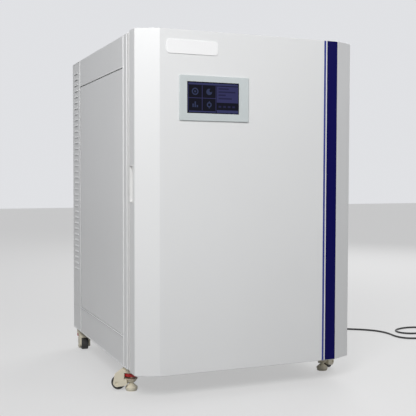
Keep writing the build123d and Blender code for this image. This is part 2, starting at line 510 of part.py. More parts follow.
def hepa_filter():
    """Round cartridge filter on the duct's intake, pleated on its rim."""
    y0 = Y_DUCT - FILTER_LEN
    body = rod_y(0, Z_FAN, y0, Y_DUCT, FILTER_R)
    for i in range(PLEAT_COUNT):
        y = y0 + (i + 1) * PLEAT_PITCH
        groove = rod_y(0, Z_FAN, y, y + PLEAT_W, FILTER_R + 1)
        body -= groove - rod_y(0, Z_FAN, y - 1, y + PLEAT_W + 1, FILTER_R - PLEAT_DEPTH)
    return body - rod_y(0, Z_FAN, y0 + PLEAT_DEPTH, Y_DUCT + 1, FILTER_R - FILTER_RING)


def fan_motor():
    """Motor behind the insulation, with the shaft that reaches into the duct."""
    y0 = Y_INS_BACK
    motor = rod_y(0, Z_FAN, y0, y0 + MOTOR_LEN, MOTOR_R)
    motor += plate_at(0, Z_FAN, MOTOR_PLATE, MOTOR_PLATE, y0, y0 + MOTOR_PLATE_T)
    return motor + rod_y(0, Z_FAN, Y_DUCT + SHAFT_SETBACK, y0 + 1, SHAFT_R)


def fan_impeller():
    """Radial impeller on the motor's shaft."""
    y0, y1 = Y_DUCT + SHAFT_SETBACK + 1, Y_DUCT + SHAFT_SETBACK + 1 + IMPELLER_T
    wheel = rod_y(0, Z_FAN, y0, y1, HUB_R) + rod_y(0, Z_FAN, y1 - 2, y1, IMPELLER_R)
    blade = block(HUB_R - 1, IMPELLER_R - 2, y0, y1 - 1, -BLADE_T / 2, BLADE_T / 2)
    for i in range(BLADE_COUNT):
        wheel += Pos(0, 0, Z_FAN) * Rot(0, i * 360 / BLADE_COUNT, 0) * blade
    return wheel - rod_y(0, Z_FAN, y0 - 1, y1 + 1, SHAFT_R + RUN_CLEAR)


def chamber_sensors():
    """Gas sensor with its cap, and a temperature probe, both on the chamber's rear wall."""
    z_gas, z_probe = Z_FAN + SENSOR_UP, Z_FAN - PROBE_DOWN
    gas = rod_y(X_SENSOR, z_gas, Y_CH_BACK - 4, Y_CH_BACK, SENSOR_CAP_R)
    gas += rod_y(X_SENSOR, z_gas, Y_CH_BACK - SENSOR_LEN, Y_CH_BACK - 4, SENSOR_R)
    probe = rod_y(X_SENSOR, z_probe, Y_CH_BACK - 3, Y_CH_BACK, PROBE_CAP_R)
    probe += rod_y(X_SENSOR, z_probe, Y_CH_BACK - PROBE_LEN, Y_CH_BACK - 3, PROBE_R)
    return Compound(children=[gas, probe])


def control_board():
    """Control board on its stand-offs above the insulation."""
    z = Z_INS_TOP + BOARD_LIFT
    board = block(-BOARD_W / 2, BOARD_W / 2, -BOARD_D / 2, BOARD_D / 2, z, z + BOARD_T)
    for place in GridLocations(BOARD_W - 2 * BOARD_EDGE, BOARD_D - 2 * BOARD_EDGE, 2, 2):
        board += place * rod(0, 0, Z_INS_TOP, z, STANDOFF_R)
    for x, y, w, d, h in BOARD_PARTS:
        board += block(x - w / 2, x + w / 2, y - d / 2, y + d / 2, z + BOARD_T, z + BOARD_T + h)
    return board


def access_port_sleeve():
    """Tube from the chamber through the insulation to the rear panel, with an outer collar."""
    y1 = Y_REAR + PORT_LIP
    outer = rod_y(X_PORT, Z_PORT, Y_CH_BACK, y1, PORT_R + PORT_WALL)
    outer += rod_y(X_PORT, Z_PORT, Y_REAR, y1, PORT_R + PORT_WALL + PORT_COLLAR)
    return outer - rod_y(X_PORT, Z_PORT, Y_CH_BACK - 1, y1 + 1, PORT_R)


def access_port_plug():
    """Silicone stopper in the rear end of the access port."""
    y1 = Y_REAR + PORT_LIP + SEAL_CLEAR
    stopper = rod_y(X_PORT, Z_PORT, Y_REAR - STOPPER_LEN, y1, PORT_R - SEAL_CLEAR)
    head = rod_y(X_PORT, Z_PORT, y1, y1 + STOPPER_HEAD, STOPPER_HEAD_R)
    return stopper + fillet(head.edges().group_by(Axis.Y)[-1], 2)


def gas_inlet():
    """Hose barb, bulkhead, solenoid valve and the tube into the chamber."""
    barb = rod_y(X_GAS, Z_GAS, Y_REAR, Y_REAR + BARB_FLANGE_T, BARB_FLANGE_R)
    barb += rod_y(X_GAS, Z_GAS, Y_SKIN - BULKHEAD_T, Y_REAR, BULKHEAD_R)
    ridge = Rot(-90, 0, 0) * Cone(BARB_R, BARB_TIP_R, BARB_LEN)
    for i in range(BARB_COUNT):
        barb += Pos(X_GAS, Y_REAR + BARB_FIRST + i * BARB_PITCH, Z_GAS) * ridge
    barb += rod_y(X_GAS, Z_GAS, Y_REAR, Y_REAR + BARB_PROUD, BARB_STEM_R)
    y0 = Y_INS_BACK + VALVE_STANDOFF
    y1 = Y_SKIN - BULKHEAD_T
    valve = plate_at(X_GAS, Z_GAS, VALVE_W, VALVE_H, y0, y1)
    valve += rod(X_GAS, (y0 + y1) / 2, Z_GAS + VALVE_H / 2, Z_GAS + VALVE_H / 2 + COIL_H, COIL_R)
    tube = rod_y(X_GAS, Z_GAS, Y_CH_BACK - 6, y0, BARB_TIP_R)
    bore = rod_y(X_GAS, Z_GAS, Y_REAR + 4, Y_REAR + BARB_PROUD + 1, BARB_BORE_R)
    return barb + valve + tube - bore


def mains_inlet():
    """Appliance inlet with its shroud and three pins, beside the frame of the power switch."""
    y0, y1 = Y_REAR - INLET_DEPTH, Y_REAR + INLET_FLANGE_T
    inlet = plate_at(X_INLET, Z_INLET, INLET_W, INLET_H, y0, y1)
    inlet += plate_at(X_INLET, Z_INLET, INLET_FLANGE_W, INLET_FLANGE_H, Y_REAR, y1)
    inlet -= plate_at(X_INLET, Z_INLET, INLET_W - 2 * INLET_WALL, INLET_H - 2 * INLET_WALL,
                      Y_REAR - INLET_MOUTH, y1 + 1)
    for dx, dz in INLET_PINS:
        inlet += plate_at(X_INLET + dx, Z_INLET + dz, PIN_W, PIN_H, Y_REAR - INLET_MOUTH, Y_REAR - PIN_SINK)
    out, wall = 2 * ROCKER_FLANGE, 2 * ROCKER_WALL
    frame = plate_at(X_ROCKER, Z_INLET, ROCKER_W + out, ROCKER_H + out, Y_REAR, y1)
    frame += plate_at(X_ROCKER, Z_INLET, ROCKER_W + wall, ROCKER_H + wall, y0, Y_REAR)
    frame -= plate_at(X_ROCKER, Z_INLET, ROCKER_W, ROCKER_H, Y_REAR - ROCKER_DEPTH, y1 + 1)
    return Compound(children=[inlet, frame - rocker_pin(ROCKER_PIN_R + RUN_CLEAR, RUN_CLEAR)])


def rocker_pin(r, grow):
    """The rocker's pivot pin, or the bore for it, across the switch."""
    half = ROCKER_W / 2 + ROCKER_WALL / 2 + grow
    return Pos(X_ROCKER, Y_REAR - ROCKER_SINK, Z_INLET) * Rot(0, 90, 0) * Cylinder(r, 2 * half)


def power_rocker():
    """Rocker of the power switch, on a level pivot pin."""
    w = ROCKER_W / 2 - ROCKER_CLEAR
    outline = Polyline((5.0, -11.5), (1.5, 0.0), (1.0, 11.5), (-8.0, 11.0), (-12.0, 0.0), (-8.0, -11.0),
                       close=True)
    rocker = Pos(X_ROCKER - w, Y_REAR, Z_INLET) * extrude(Plane.YZ * make_face(outline), 2 * w)
    rocker = fillet(rocker.edges().filter_by(Axis.X).group_by(Axis.Y)[-1], 0.8)
    return rocker + rocker_pin(ROCKER_PIN_R, -RUN_CLEAR)


# Outer door


def door_outline(inset, y_back):
    """Plan of the outer door with its rounded bends, moved inwards by an inset."""
    lean = degrees(atan(CHAMFER_DEPTH / CHAMFER_WIDTH))
    x_flat, x_side = X_FLAT - inset * tan(radians(lean / 2)), X_SIDE - inset
    y_side = Y_FACE + CHAMFER_DEPTH + inset * tan(radians((90 - lean) / 2))
    outline = Polyline((-x_side, y_back), (-x_side, y_side), (-x_flat, Y_FACE + inset),
                       (x_flat, Y_FACE + inset), (x_side, y_side), (x_side, y_back), close=True)
    face = make_face(outline)
    return fillet(face.vertices().filter_by(lambda corner: corner.Y < y_back - 1), BEND_R - inset)


def hinge_notches(grow):
    """Clearance for the two hinge plates in the right rear corner of the door."""
    low = block(X_HINGE - NOTCH_X - grow, X_SIDE + 1, Y_HINGE - NOTCH_Y - grow, Y_DOOR_BACK + 1,
                Z_DOOR - 1, Z_DOOR + HINGE_NOTCH + grow)
    high = block(X_HINGE - NOTCH_X - grow, X_SIDE + 1, Y_HINGE - NOTCH_Y - grow, Y_DOOR_BACK + 1,
                 Z_DOOR_TOP - HINGE_NOTCH - grow, Z_DOOR_TOP + 1)
    return low + high


def handle_taper(w, h, x, depth):
    """A tapering block about the grip's middle, from a plane inwards."""
    mouth = Plane(origin=(x, Y_HANDLE, Z_HANDLE), x_dir=(0, 1, 0), z_dir=(1, 0, 0))
    return extrude(mouth * Rectangle(w, h), depth, taper=HANDLE_TAPER)


def door_skin():
    """Bent steel shell of the outer door with the hinge blocks welded in."""
    outer = Pos(0, 0, Z_DOOR) * extrude(door_outline(0, Y_DOOR_BACK), DOOR_HEIGHT)
    outer = fillet(outer.edges().filter_by(Plane.XY).filter_by(Axis.X).group_by(Axis.Y)[0], TOP_EDGE_R)
    inner = Pos(0, 0, Z_DOOR + SHEET) * extrude(door_outline(SHEET, Y_DOOR_BACK + 1),
                                               DOOR_HEIGHT - 2 * SHEET)
    skin = outer - inner
    for z in (Z_DOOR + HINGE_NOTCH, Z_DOOR_TOP - HINGE_NOTCH - HINGE_BLOCK):
        skin += block(X_HINGE - NOTCH_X + 4, X_SIDE - SHEET, Y_HINGE - NOTCH_Y + 2, Y_DOOR_BACK - DOOR_LINER,
                      z, z + HINGE_BLOCK)
    skin -= hinge_notches(0)
    for z0, z1 in ((Z_DOOR, Z_DOOR + 2 * HINGE_BLOCK), (Z_DOOR_TOP - 2 * HINGE_BLOCK, Z_DOOR_TOP)):
        skin -= rod(X_HINGE, Y_HINGE, z0, z1, HINGE_PIN_R + RUN_CLEAR)
    hole = 2 * (HANDLE_LIP - FIT)
    return skin - block(-X_SIDE - 1, -X_SIDE + SHEET + 1,
                        Y_HANDLE - (HANDLE_W - hole) / 2, Y_HANDLE + (HANDLE_W - hole) / 2,
                        Z_HANDLE - (HANDLE_H - hole) / 2, Z_HANDLE + (HANDLE_H - hole) / 2)


def door_inner_panel():
    """Inner cover of the outer door, with a raised middle that faces the glass door."""
    x = X_SIDE - SHEET - FIT
    z0, z1 = Z_DOOR + SHEET + FIT, Z_DOOR_TOP - SHEET - FIT
    y0 = Y_DOOR_BACK - DOOR_LINER
    panel = block(-x, x, y0, Y_DOOR_BACK, z0, z1)

    def raised(inset, y_low, y_high, r):
        return round_panel(-X_RIM + inset, X_RIM - inset, Z_RIM + inset, Z_RIM_TOP - inset, y_low, y_high, r)

    bulge = raised(LINER_INSET, y0, Y_DOOR_BACK + LINER_BULGE, LINER_R)
    bulge = fillet(bulge.faces().sort_by(Axis.Y)[-1].edges(), 3)
    core = raised(LINER_INSET + DOOR_LINER, y0 - 1, Y_DOOR_BACK + LINER_BULGE - DOOR_LINER, LINER_R - DOOR_LINER)
    panel = panel + bulge - core - hinge_notches(SEAL_CLEAR)
    return panel - rod(X_HINGE, Y_HINGE, Z_DOOR, Z_DOOR_TOP, HINGE_PIN_R + SEAL_CLEAR)


def door_gasket():
    """Magnetic gasket round the back of the outer door."""
    x, z0, z1 = X_RIM + GASKET_OUT, Z_RIM - GASKET_OUT, Z_RIM_TOP + GASKET_OUT
    y1 = Y_CAB - SEAL_CLEAR
    ring = round_panel(-x - GASKET_W, x + GASKET_W, z0 - GASKET_W, z1 + GASKET_W, Y_DOOR_BACK, y1, GASKET_R)
    return ring - round_panel(-x, x, z0, z1, Y_DOOR_BACK - 1, y1 + 1, GASKET_R / 2)


def door_handle_cup():
    """Recessed grip in the left edge of the door: a thin flange round a cup with sloping walls."""
    flange = block(-X_SIDE - HANDLE_FLANGE_T, -X_SIDE, Y_HANDLE - HANDLE_W / 2, Y_HANDLE + HANDLE_W / 2,
                   Z_HANDLE - HANDLE_H / 2, Z_HANDLE + HANDLE_H / 2)
    flange = fillet(flange.edges().filter_by(Axis.X), 2)
    w, h = HANDLE_W - 2 * HANDLE_LIP, HANDLE_H - 2 * HANDLE_LIP
    cup = handle_taper(w, h, -X_SIDE, HANDLE_DEPTH)
    well = handle_taper(w - 2 * HANDLE_WALL, h - 2 * HANDLE_WALL, -X_SIDE - HANDLE_FLANGE_T,
                        HANDLE_DEPTH + HANDLE_FLANGE_T - HANDLE_WALL)
    return flange + cup - well


def screen_bezel():
    """Silver frame of the touch screen, raised from the door."""
    frame = round_panel(X_BEZEL - BEZEL_W / 2, X_BEZEL + BEZEL_W / 2, Z_BEZEL - BEZEL_H / 2,
                        Z_BEZEL + BEZEL_H / 2, Y_FACE - BEZEL_T, Y_FACE, BEZEL_R)
    frame = fillet(frame.faces().sort_by(Axis.Y)[0].edges(), BEZEL_EDGE)
    return frame - plate_at(X_SCREEN, Z_SCREEN, SCREEN_W, SCREEN_H, Y_FACE - BEZEL_T - 1,
                            Y_FACE - BEZEL_T + SCREEN_SINK + SCREEN_T)


def touch_screen():
    """Glass of the touch screen, a little below the bezel's face."""
    y0 = Y_FACE - BEZEL_T + SCREEN_SINK
    return plate_at(X_SCREEN, Z_SCREEN, SCREEN_W - 2 * FIT, SCREEN_H - 2 * FIT, y0, y0 + SCREEN_T)


def door_badge():
    """Blank raised plate."""
    plate = round_panel(X_BADGE - BADGE_W / 2, X_BADGE + BADGE_W / 2, Z_BADGE - BADGE_H / 2,
                        Z_BADGE + BADGE_H / 2, Y_FACE - BADGE_T, Y_FACE, BADGE_R)
    return fillet(plate.faces().sort_by(Axis.Y)[0].edges(), BADGE_EDGE)


def door_stripes():
    """The thin and the wide stripe, as inlaid strips from top to bottom."""
    wide = X_FLAT - STRIPE_EDGE - WIDE_STRIPE_W
    thin = wide - STRIPE_SPACE - THIN_STRIPE_W
    z0, z1 = Z_DOOR + TOP_EDGE_R, Z_DOOR_TOP - TOP_EDGE_R
    strips = [block(x, x + w, Y_FACE - STRIPE_T, Y_FACE, z0, z1)
              for x, w in ((wide, WIDE_STRIPE_W), (thin, THIN_STRIPE_W))]
    return Compound(children=strips)


def hinge_brackets():
    """Upper and lower pivot plates on the front frame, each with its pin."""
    x0, x1 = X_HINGE - HINGE_REACH, X_HINGE + HINGE_EYE_R
    brackets = []
    for z, up in ((Z_DOOR + HINGE_NOTCH - HINGE_PLATE - 1, True), (Z_DOOR_TOP - HINGE_NOTCH + 1, False)):
        plate = block(x0, x1, Y_HINGE, Y_CAB, z, z + HINGE_PLATE)
        plate += rod(X_HINGE, Y_HINGE, z, z + HINGE_PLATE, HINGE_EYE_R)
        ear = z if up else z - HINGE_EAR
        plate += block(x0, x1, Y_CAB - HINGE_FOOT_T, Y_CAB, ear, ear + HINGE_PLATE + HINGE_EAR)
        top = z + HINGE_PLATE + HINGE_PIN_LEN if up else z
        plate += rod(X_HINGE, Y_HINGE, top - HINGE_PIN_LEN, top, HINGE_PIN_R)
        brackets.append(plate)
    return Compound(children=brackets)


# Inner glass door


def inner_door_glass():
    """Toughened glass pane in front of the chamber mouth."""
    pane = round_panel(-X_RIM + GLASS_CLEAR, X_INNER_HINGE - GLASS_HINGE_GAP, Z_RIM + GLASS_CLEAR,
                       Z_RIM_TOP - GLASS_CLEAR, Y_GLASS, Y_GLASS + GLASS_T, GLASS_R)
    return pane - rod_y(X_KNOB, Z_CH_MID, Y_GLASS - 1, Y_GLASS + GLASS_T + 1, SPINDLE_R + 0.1)


def inner_door_hinges():
    """Two clamp hinges of the glass door, which turn on the front frame's pins."""
    x, y, half = X_INNER_HINGE, Y_INNER_HINGE, INNER_HINGE_HALF
    clamps = []
    for z in inner_hinge_heights():
        clamp = block(x - CLAMP_REACH, x - INNER_LUG_R, Y_GLASS - CLAMP_T, Y_GLASS, z - half, z + half)
        clamp += rod(x, y, z - half, z + half, INNER_EYE_R)
        clamp += block(x - GLASS_HINGE_GAP + FIT, x, Y_GLASS - CLAMP_T / 2, y, z - half, z + half)
        clamps.append(clamp - rod(x, y, z - half - 1, z + half + 1, INNER_PIN_R + RUN_CLEAR))
    return Compound(children=clamps)


def inner_door_knob():
    """Latch knob of the glass door, with its spindle through the glass."""
    knob = rod_y(X_KNOB, Z_CH_MID, Y_GLASS - 14, Y_GLASS - SEAL_CLEAR, KNOB_GRIP_R)
    knob += plate_at(X_KNOB, Z_CH_MID, KNOB_GRIP_R, 2 * KNOB_R, Y_GLASS - 16, Y_GLASS - 6)
    return knob + rod_y(X_KNOB, Z_CH_MID, Y_GLASS - 1, Y_GLASS + GLASS_T - 0.4, SPINDLE_R)


# Levelling casters


def place_caster(shape, x, y, swivel):
    """Put a caster piece, drawn with its swivel axis on Z and its wheel towards +X, in its corner."""
    return Pos(x, y, 0) * Rot(0, 0, swivel) * shape


def caster_plate():
    """Mounting plate with its stub for the swivel head and its four bolt heads."""
    plate = Pos(0, 0, Z_PLATE) * extrude(RectangleRounded(PLATE_W, PLATE_D, PLATE_R), PLATE_T)
    plate += rod(0, 0, Z_PLATE - STUB_LEN, Z_PLATE, STUB_R)
    for place in GridLocations(BOLT_ACROSS, BOLT_ALONG, 2, 2):
        plate += place * rod(0, 0, Z_PLATE - BOLT_H, Z_PLATE, BOLT_R)
    return plate


def cheek_outline():
    """Side view of the housing: the hull of its axle boss, brow, shoulder and heel."""
    rounds = [
        Pos(TRAIL, Z_AXLE) * Circle(BOSS_R),
        Pos(TRAIL - 2, BROW_Z - 9) * Circle(9),
        Pos(HEAD_R, SHOULDER_Z - 10) * Circle(10),
        Pos(WINDOW_END, HEEL_Z + 8) * Circle(8),
    ]
    edges = [edge for piece in rounds for edge in piece.edges()]
    return make_hull(edges)


def foot_room():
    """Room for the foot where its thumb wheel has drawn it all the way up."""
    r, neck = FOOT_R + FOOT_CLEAR, STEM_R + 3 + FOOT_CLEAR
    rim, top = FOOT_RIM + FOOT_UP + FOOT_CLEAR, FOOT_TOP + FOOT_UP + FOOT_CLEAR
    outline = Polyline((0, 0), (r, 0), (r, rim - 2), (r - 2, rim), (neck, top), (0, top), close=True)
    return revolve(Plane.XZ * make_face(outline), Axis.Z)


def caster_housing():
    """Swivel housing: head, two cheeks with axle bosses, and a collar under the thumb wheel's window."""
    half = CASTER_HALF
    body = Pos(0, half, 0) * extrude(Plane.XZ * cheek_outline(), 2 * half)
    body += rod(0, 0, WINDOW_HIGH, Z_HEAD, HEAD_R)
    collar_h = WINDOW_LOW - COLLAR_LOW
    body += Pos(0, 0, COLLAR_LOW + collar_h / 2) * Cone(COLLAR_LOW_R, COLLAR_R, collar_h)
    inner = half - CHEEK_T
    arch = rod_y(TRAIL, Z_AXLE, -inner, inner, WHEEL_R + ARCH_GAP)
    arch += block(TRAIL - WHEEL_R, TRAIL + 2 * WHEEL_R, -inner, inner, -1, Z_AXLE)
    body -= arch
    body -= block(-2 * HEAD_R, WINDOW_END, -2 * HEAD_R, 2 * HEAD_R, WINDOW_LOW, WINDOW_HIGH)
    body -= rod(0, 0, WINDOW_LOW, WINDOW_HIGH, THUMB_R + THUMB_GAP)
    body -= foot_room()
    body -= rod(0, 0, 0, STEM_TOP + 8, STEM_R + 2 * RUN_CLEAR)
    body -= rod(0, 0, Z_PLATE - STUB_LEN - HEAD_CLEAR, Z_HEAD + 1, STUB_R + RUN_CLEAR)
    hole = rod_y(TRAIL, Z_AXLE, -half - 1, half + 1, AXLE_R + RUN_CLEAR)
    axle = rod_y(TRAIL, Z_AXLE, -half + BOSS_SINK, half - BOSS_SINK, AXLE_R)
    return Compound(children=[body - hole, axle])


def caster_wheel():
    """Wheel with a rounded tread and dished sides."""
    half = WHEEL_W / 2
    wheel = rod_y(TRAIL, Z_AXLE, -half, half, WHEEL_R)
    wheel = fillet(wheel.edges().filter_by(GeomType.CIRCLE), WHEEL_EDGE)
    for a, b in ((-half - 1, -half + WHEEL_DISH), (half - WHEEL_DISH, half + 1)):
        dish = rod_y(TRAIL, Z_AXLE, a, b, WHEEL_R - WHEEL_RIM)
        wheel -= dish - rod_y(TRAIL, Z_AXLE, a, b, AXLE_R + WHEEL_HUB)
    return wheel - rod_y(TRAIL, Z_AXLE, -half - 1, half + 1, AXLE_R + RUN_CLEAR)


def caster_thumb():
    """Notched thumb wheel that screws the foot up and down."""
    disc = rod(0, 0, THUMB_LOW, THUMB_HIGH, THUMB_R)
    notch = rod(THUMB_R + 0.6, 0, THUMB_LOW - 1, THUMB_HIGH + 1, THUMB_NOTCH_R)
    disc -= [Rot(0, 0, i * 360 / NOTCH_COUNT) * notch for i in range(NOTCH_COUNT)]
    return disc - rod(0, 0, THUMB_LOW - 1, THUMB_HIGH + 1, STEM_R + RUN_CLEAR)


def caster_foot():
    """Foot pad turned as one piece with its screw stem: sole, bulging rim, neck and stem."""
    outline = Polyline((0, 0), (FOOT_SOLE_R, 0), (FOOT_SOLE_R, FOOT_SOLE), (FOOT_R, FOOT_SOLE + 3),
                       (FOOT_R, FOOT_RIM - 2), (FOOT_R - 2, FOOT_RIM), (STEM_R + 3, FOOT_TOP),
                       (STEM_R, FOOT_TOP), (STEM_R, STEM_TOP), (0, STEM_TOP), close=True)
    return revolve(Plane.XZ * make_face(outline), Axis.Z)


# Fasteners


def panel_screws():
    """Dome screws along the edges of the rear panel."""
    x, z0, z1 = X_SIDE - POST_FOLD - SCREW_EDGE, Z_BAND_LOW + SCREW_EDGE, Z_CAB_TOP - SCREW_EDGE - 3
    heights = [z0 + (z1 - z0) * i / (SCREW_ROWS - 1) for i in range(SCREW_ROWS)]
    spots = [(side * x, z) for z in heights for side in (-1, 1)] + [(0, z0), (0, z1)]
    heads = []
    for sx, sz in spots:
        head = rod_y(sx, sz, Y_REAR, Y_REAR + SCREW_T, SCREW_R)
        heads.append(chamfer(head.edges().group_by(Axis.Y)[-1], SCREW_T / 2))
    return Compound(children=heads)


# Mains lead


def lead_route():
    """The lead's points, moved level with the inlet wherever its size or place puts it."""
    start = Vector(*CORD_POINTS[0])
    shift = Vector(X_INLET - start.X, Y_REAR + LEAD_STUB - start.Y, 0)
    return [Vector(*point) + shift for point in CORD_POINTS]


def cord_radii():
    """Arc radius at each corner of the lead: 0.45 of the shorter run over the tangent of half the turn."""
    pts = lead_route()
    radii = []
    for a, b, c in zip(pts, pts[1:], pts[2:]):
        turn = (b - a).get_angle(c - b)
        shorter = min((b - a).length, (c - b).length)
        radii.append(0.45 * shorter / tan(radians(turn / 2)))
    return radii


def mains_lead():
    """The lead's tube along straight runs joined by tangent arcs."""
    path = FilletPolyline(*lead_route(), radius=cord_radii())
    start = Plane(origin=path @ 0, z_dir=path % 0)
    return sweep(start * Circle(CORD_R), path=path), path.length


def mains_connector():
    """Appliance connector in the inlet, tapering to the lead."""
    x, z = X_INLET, Z_INLET
    w, h = INLET_W - 2 * (INLET_WALL + NOSE_CLEAR), INLET_H - 2 * (INLET_WALL + NOSE_CLEAR)
    nose = plate_at(x, z, w, h, Y_REAR - NOSE_IN, Y_REAR + INLET_FLANGE_T + FIT)
    for dx, dz in INLET_PINS:
        nose -= plate_at(x + dx, z + dz, PIN_W + 2 * PIN_CLEAR, PIN_H + 2 * PIN_CLEAR,
                         Y_REAR - NOSE_IN - 1, Y_REAR - PIN_SINK + 1)
    y0 = Y_REAR + INLET_FLANGE_T + FIT
    grip = plate_at(x, z, GRIP_W, GRIP_H, y0, y0 + GRIP_LEN)
    grip = fillet(grip.edges().filter_by(Axis.Y), GRIP_R)
    length = Y_REAR + LEAD_STUB - (y0 + GRIP_LEN - 1)
    middle = Pos(x, y0 + GRIP_LEN - 1 + length / 2, z)
    taper = middle * Rot(-90, 0, 0) * Cone(RELIEF_R, CORD_R + 1.2, length)
    return nose + grip + taper


def mains_plug():
    """Three-pin plug at the lead's far end, lying on the floor."""
    route = lead_route()
    heading = Vector(1, 0, 0).get_signed_angle(route[-1] - route[-2], Vector(0, 0, 1))
    low = -CORD_FLOOR
    relief = Pos(PLUG_NECK / 2, 0, 0) * Rot(0, 90, 0) * Cone(CORD_R + 1, 6.5, PLUG_NECK)
    relief &= block(-1, PLUG_NECK + 1, -PLUG_W, PLUG_W, low, PLUG_H)
    end = PLUG_NECK + PLUG_LEN
    body = block(PLUG_NECK, end, -PLUG_W / 2, PLUG_W / 2, low, low + PLUG_H)
    plug = relief + fillet(body.edges().filter_by(Axis.Z), PLUG_R)
    for side in (-1, 1):
        y = side * BLADE_SPREAD
        plug += block(end, end + BLADE_LEN, y - BLADE_T / 2, y + BLADE_T / 2, low + 8, low + 8 + BLADE_H)
    plug += block(end, end + EARTH_LEN, -EARTH_W / 2, EARTH_W / 2, low + 15, low + 18)
    return Pos(*route[-1]) * Rot(0, 0, heading) * plug


def caster_corners():
    """Place and swivel of each caster: x, y and angle."""
    front, rear = Y_CAB + CASTER_FRONT, Y_REAR - CASTER_REAR
    return {
        "front_left": (-CASTER_X, front, FRONT_SWIVEL),
        "front_right": (CASTER_X, front, 180 - FRONT_SWIVEL),
        "rear_left": (-CASTER_X, rear, REAR_SWIVEL),
        "rear_right": (CASTER_X, rear, REAR_SWIVEL),
    }


def build():
    """Every node of the model by name."""
    single = [cabinet_shell, rear_panel, base_tray, front_frame, chamber_liner, chamber_insulation,
              inner_door_seal, shelf_racks, water_pan, air_duct_cover, hepa_filter, fan_motor, fan_impeller,
              chamber_sensors, control_board, access_port_sleeve, access_port_plug, gas_inlet, mains_inlet,
              power_rocker, door_skin, door_inner_panel, door_gasket, door_handle_cup, screen_bezel,
              touch_screen, door_badge, door_stripes, hinge_brackets, inner_door_glass, inner_door_hinges,
              inner_door_knob, panel_screws, mains_connector, mains_plug]
    nodes = {make.__name__: make() for make in single}
    for make in (side_panel, rear_post):
        left, right = both_sides(make())
        nodes[f"left_{make.__name__}"], nodes[f"right_{make.__name__}"] = left, right
    for i, level in enumerate(SHELF_LEVELS, start=1):
        nodes[f"shelf_{i}"] = shelf(level)
    corners = caster_corners()
    for make in (caster_housing, caster_wheel, caster_thumb, caster_foot):
        shape = make()
        for corner, place in corners.items():
            nodes[f"{corner}_{make.__name__}"] = place_caster(shape, *place)
    plates = [place_caster(caster_plate(), x, y, 0) for x, y, _ in corners.values()]
    nodes["caster_plates"] = Compound(children=plates)
    lead, length = mains_lead()
    nodes["mains_lead"] = lead
    print("lead length", round(length, 1), "volume share", round(lead.volume / (pi * CORD_R**2 * length), 4))
    print("lead radii", [round(r, 1) for r in cord_radii()])
    return nodes


os.makedirs("parts", exist_ok=True)
for node, shape in build().items():
    export_step(shape, f"parts/{node}.step")
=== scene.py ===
"""Looks of a floor-standing carbon dioxide incubator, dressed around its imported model.

Everything is in metres in the row frame: +Z up, +X to the right seen from the front, and the front
faces -Y. The origin lies on the floor under the middle of the body.
"""

import json
import logging
import math
from dataclasses import dataclass, field
from enum import Enum

import bmesh
import bpy
import numpy as np
from mathutils import Matrix, Vector


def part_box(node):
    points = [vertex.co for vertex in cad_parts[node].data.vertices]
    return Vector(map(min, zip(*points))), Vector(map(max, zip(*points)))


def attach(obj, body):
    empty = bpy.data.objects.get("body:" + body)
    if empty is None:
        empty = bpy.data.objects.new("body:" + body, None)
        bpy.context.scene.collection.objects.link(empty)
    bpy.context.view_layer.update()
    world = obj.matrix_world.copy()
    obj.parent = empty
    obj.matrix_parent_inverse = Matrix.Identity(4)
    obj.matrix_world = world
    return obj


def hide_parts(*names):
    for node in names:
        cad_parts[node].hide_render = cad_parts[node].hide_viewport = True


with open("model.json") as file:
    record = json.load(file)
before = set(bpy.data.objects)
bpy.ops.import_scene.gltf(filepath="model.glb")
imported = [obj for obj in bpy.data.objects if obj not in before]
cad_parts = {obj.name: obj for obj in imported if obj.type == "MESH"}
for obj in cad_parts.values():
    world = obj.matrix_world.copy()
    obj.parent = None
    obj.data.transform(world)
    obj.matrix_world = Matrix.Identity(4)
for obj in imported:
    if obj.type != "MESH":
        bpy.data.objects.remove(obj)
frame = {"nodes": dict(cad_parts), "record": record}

log = logging.getLogger("incubator")

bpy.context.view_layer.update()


class Grain(Enum):
    """Stretch of a brushed grain along one axis, as scales per metre."""

    ALONG_X = (5.0, 900.0, 900.0)
    ALONG_Y = (900.0, 5.0, 900.0)
    ALONG_Z = (900.0, 900.0, 5.0)


class Socket:
    """One output of a shader node that takes part in Python arithmetic."""

    def __init__(self, tree: "Tree", out: bpy.types.NodeSocket) -> None:
        """Wraps an output socket of a tree."""
        self.tree = tree
        self.out = out

    def math(self, operation: str, *others: "Socket | float") -> "Socket":
        """Adds a Math node with this socket as its first value."""
        return self.tree.math(operation, self, *others)

    def __add__(self, other: "Socket | float") -> "Socket":
        """This value plus another."""
        return self.math("ADD", other)

    __radd__ = __add__

    def __sub__(self, other: "Socket | float") -> "Socket":
        """This value less another."""
        return self.math("SUBTRACT", other)

    def __rsub__(self, other: float) -> "Socket":
        """A number less this value."""
        return self.tree.math("SUBTRACT", other, self)

    def __mul__(self, other: "Socket | float") -> "Socket":
        """This value times another."""
        return self.math("MULTIPLY", other)

    __rmul__ = __mul__

    def __truediv__(self, other: "Socket | float") -> "Socket":
        """This value over another."""
        return self.math("DIVIDE", other)

    def __gt__(self, other: "Socket | float") -> "Socket":
        """One where this value is the larger, and nought elsewhere."""
        return self.math("GREATER_THAN", other)

    def __lt__(self, other: "Socket | float") -> "Socket":
        """One where this value is the smaller, and nought elsewhere."""
        return self.math("LESS_THAN", other)

    def within(self, low: float, high: float) -> "Socket":
        """One between two numbers, and nought elsewhere."""
        return (self > low) * (self < high)

    def clip(self) -> "Socket":
        """This value kept between nought and one."""
        return self.math("MAXIMUM", 0.0).math("MINIMUM", 1.0)


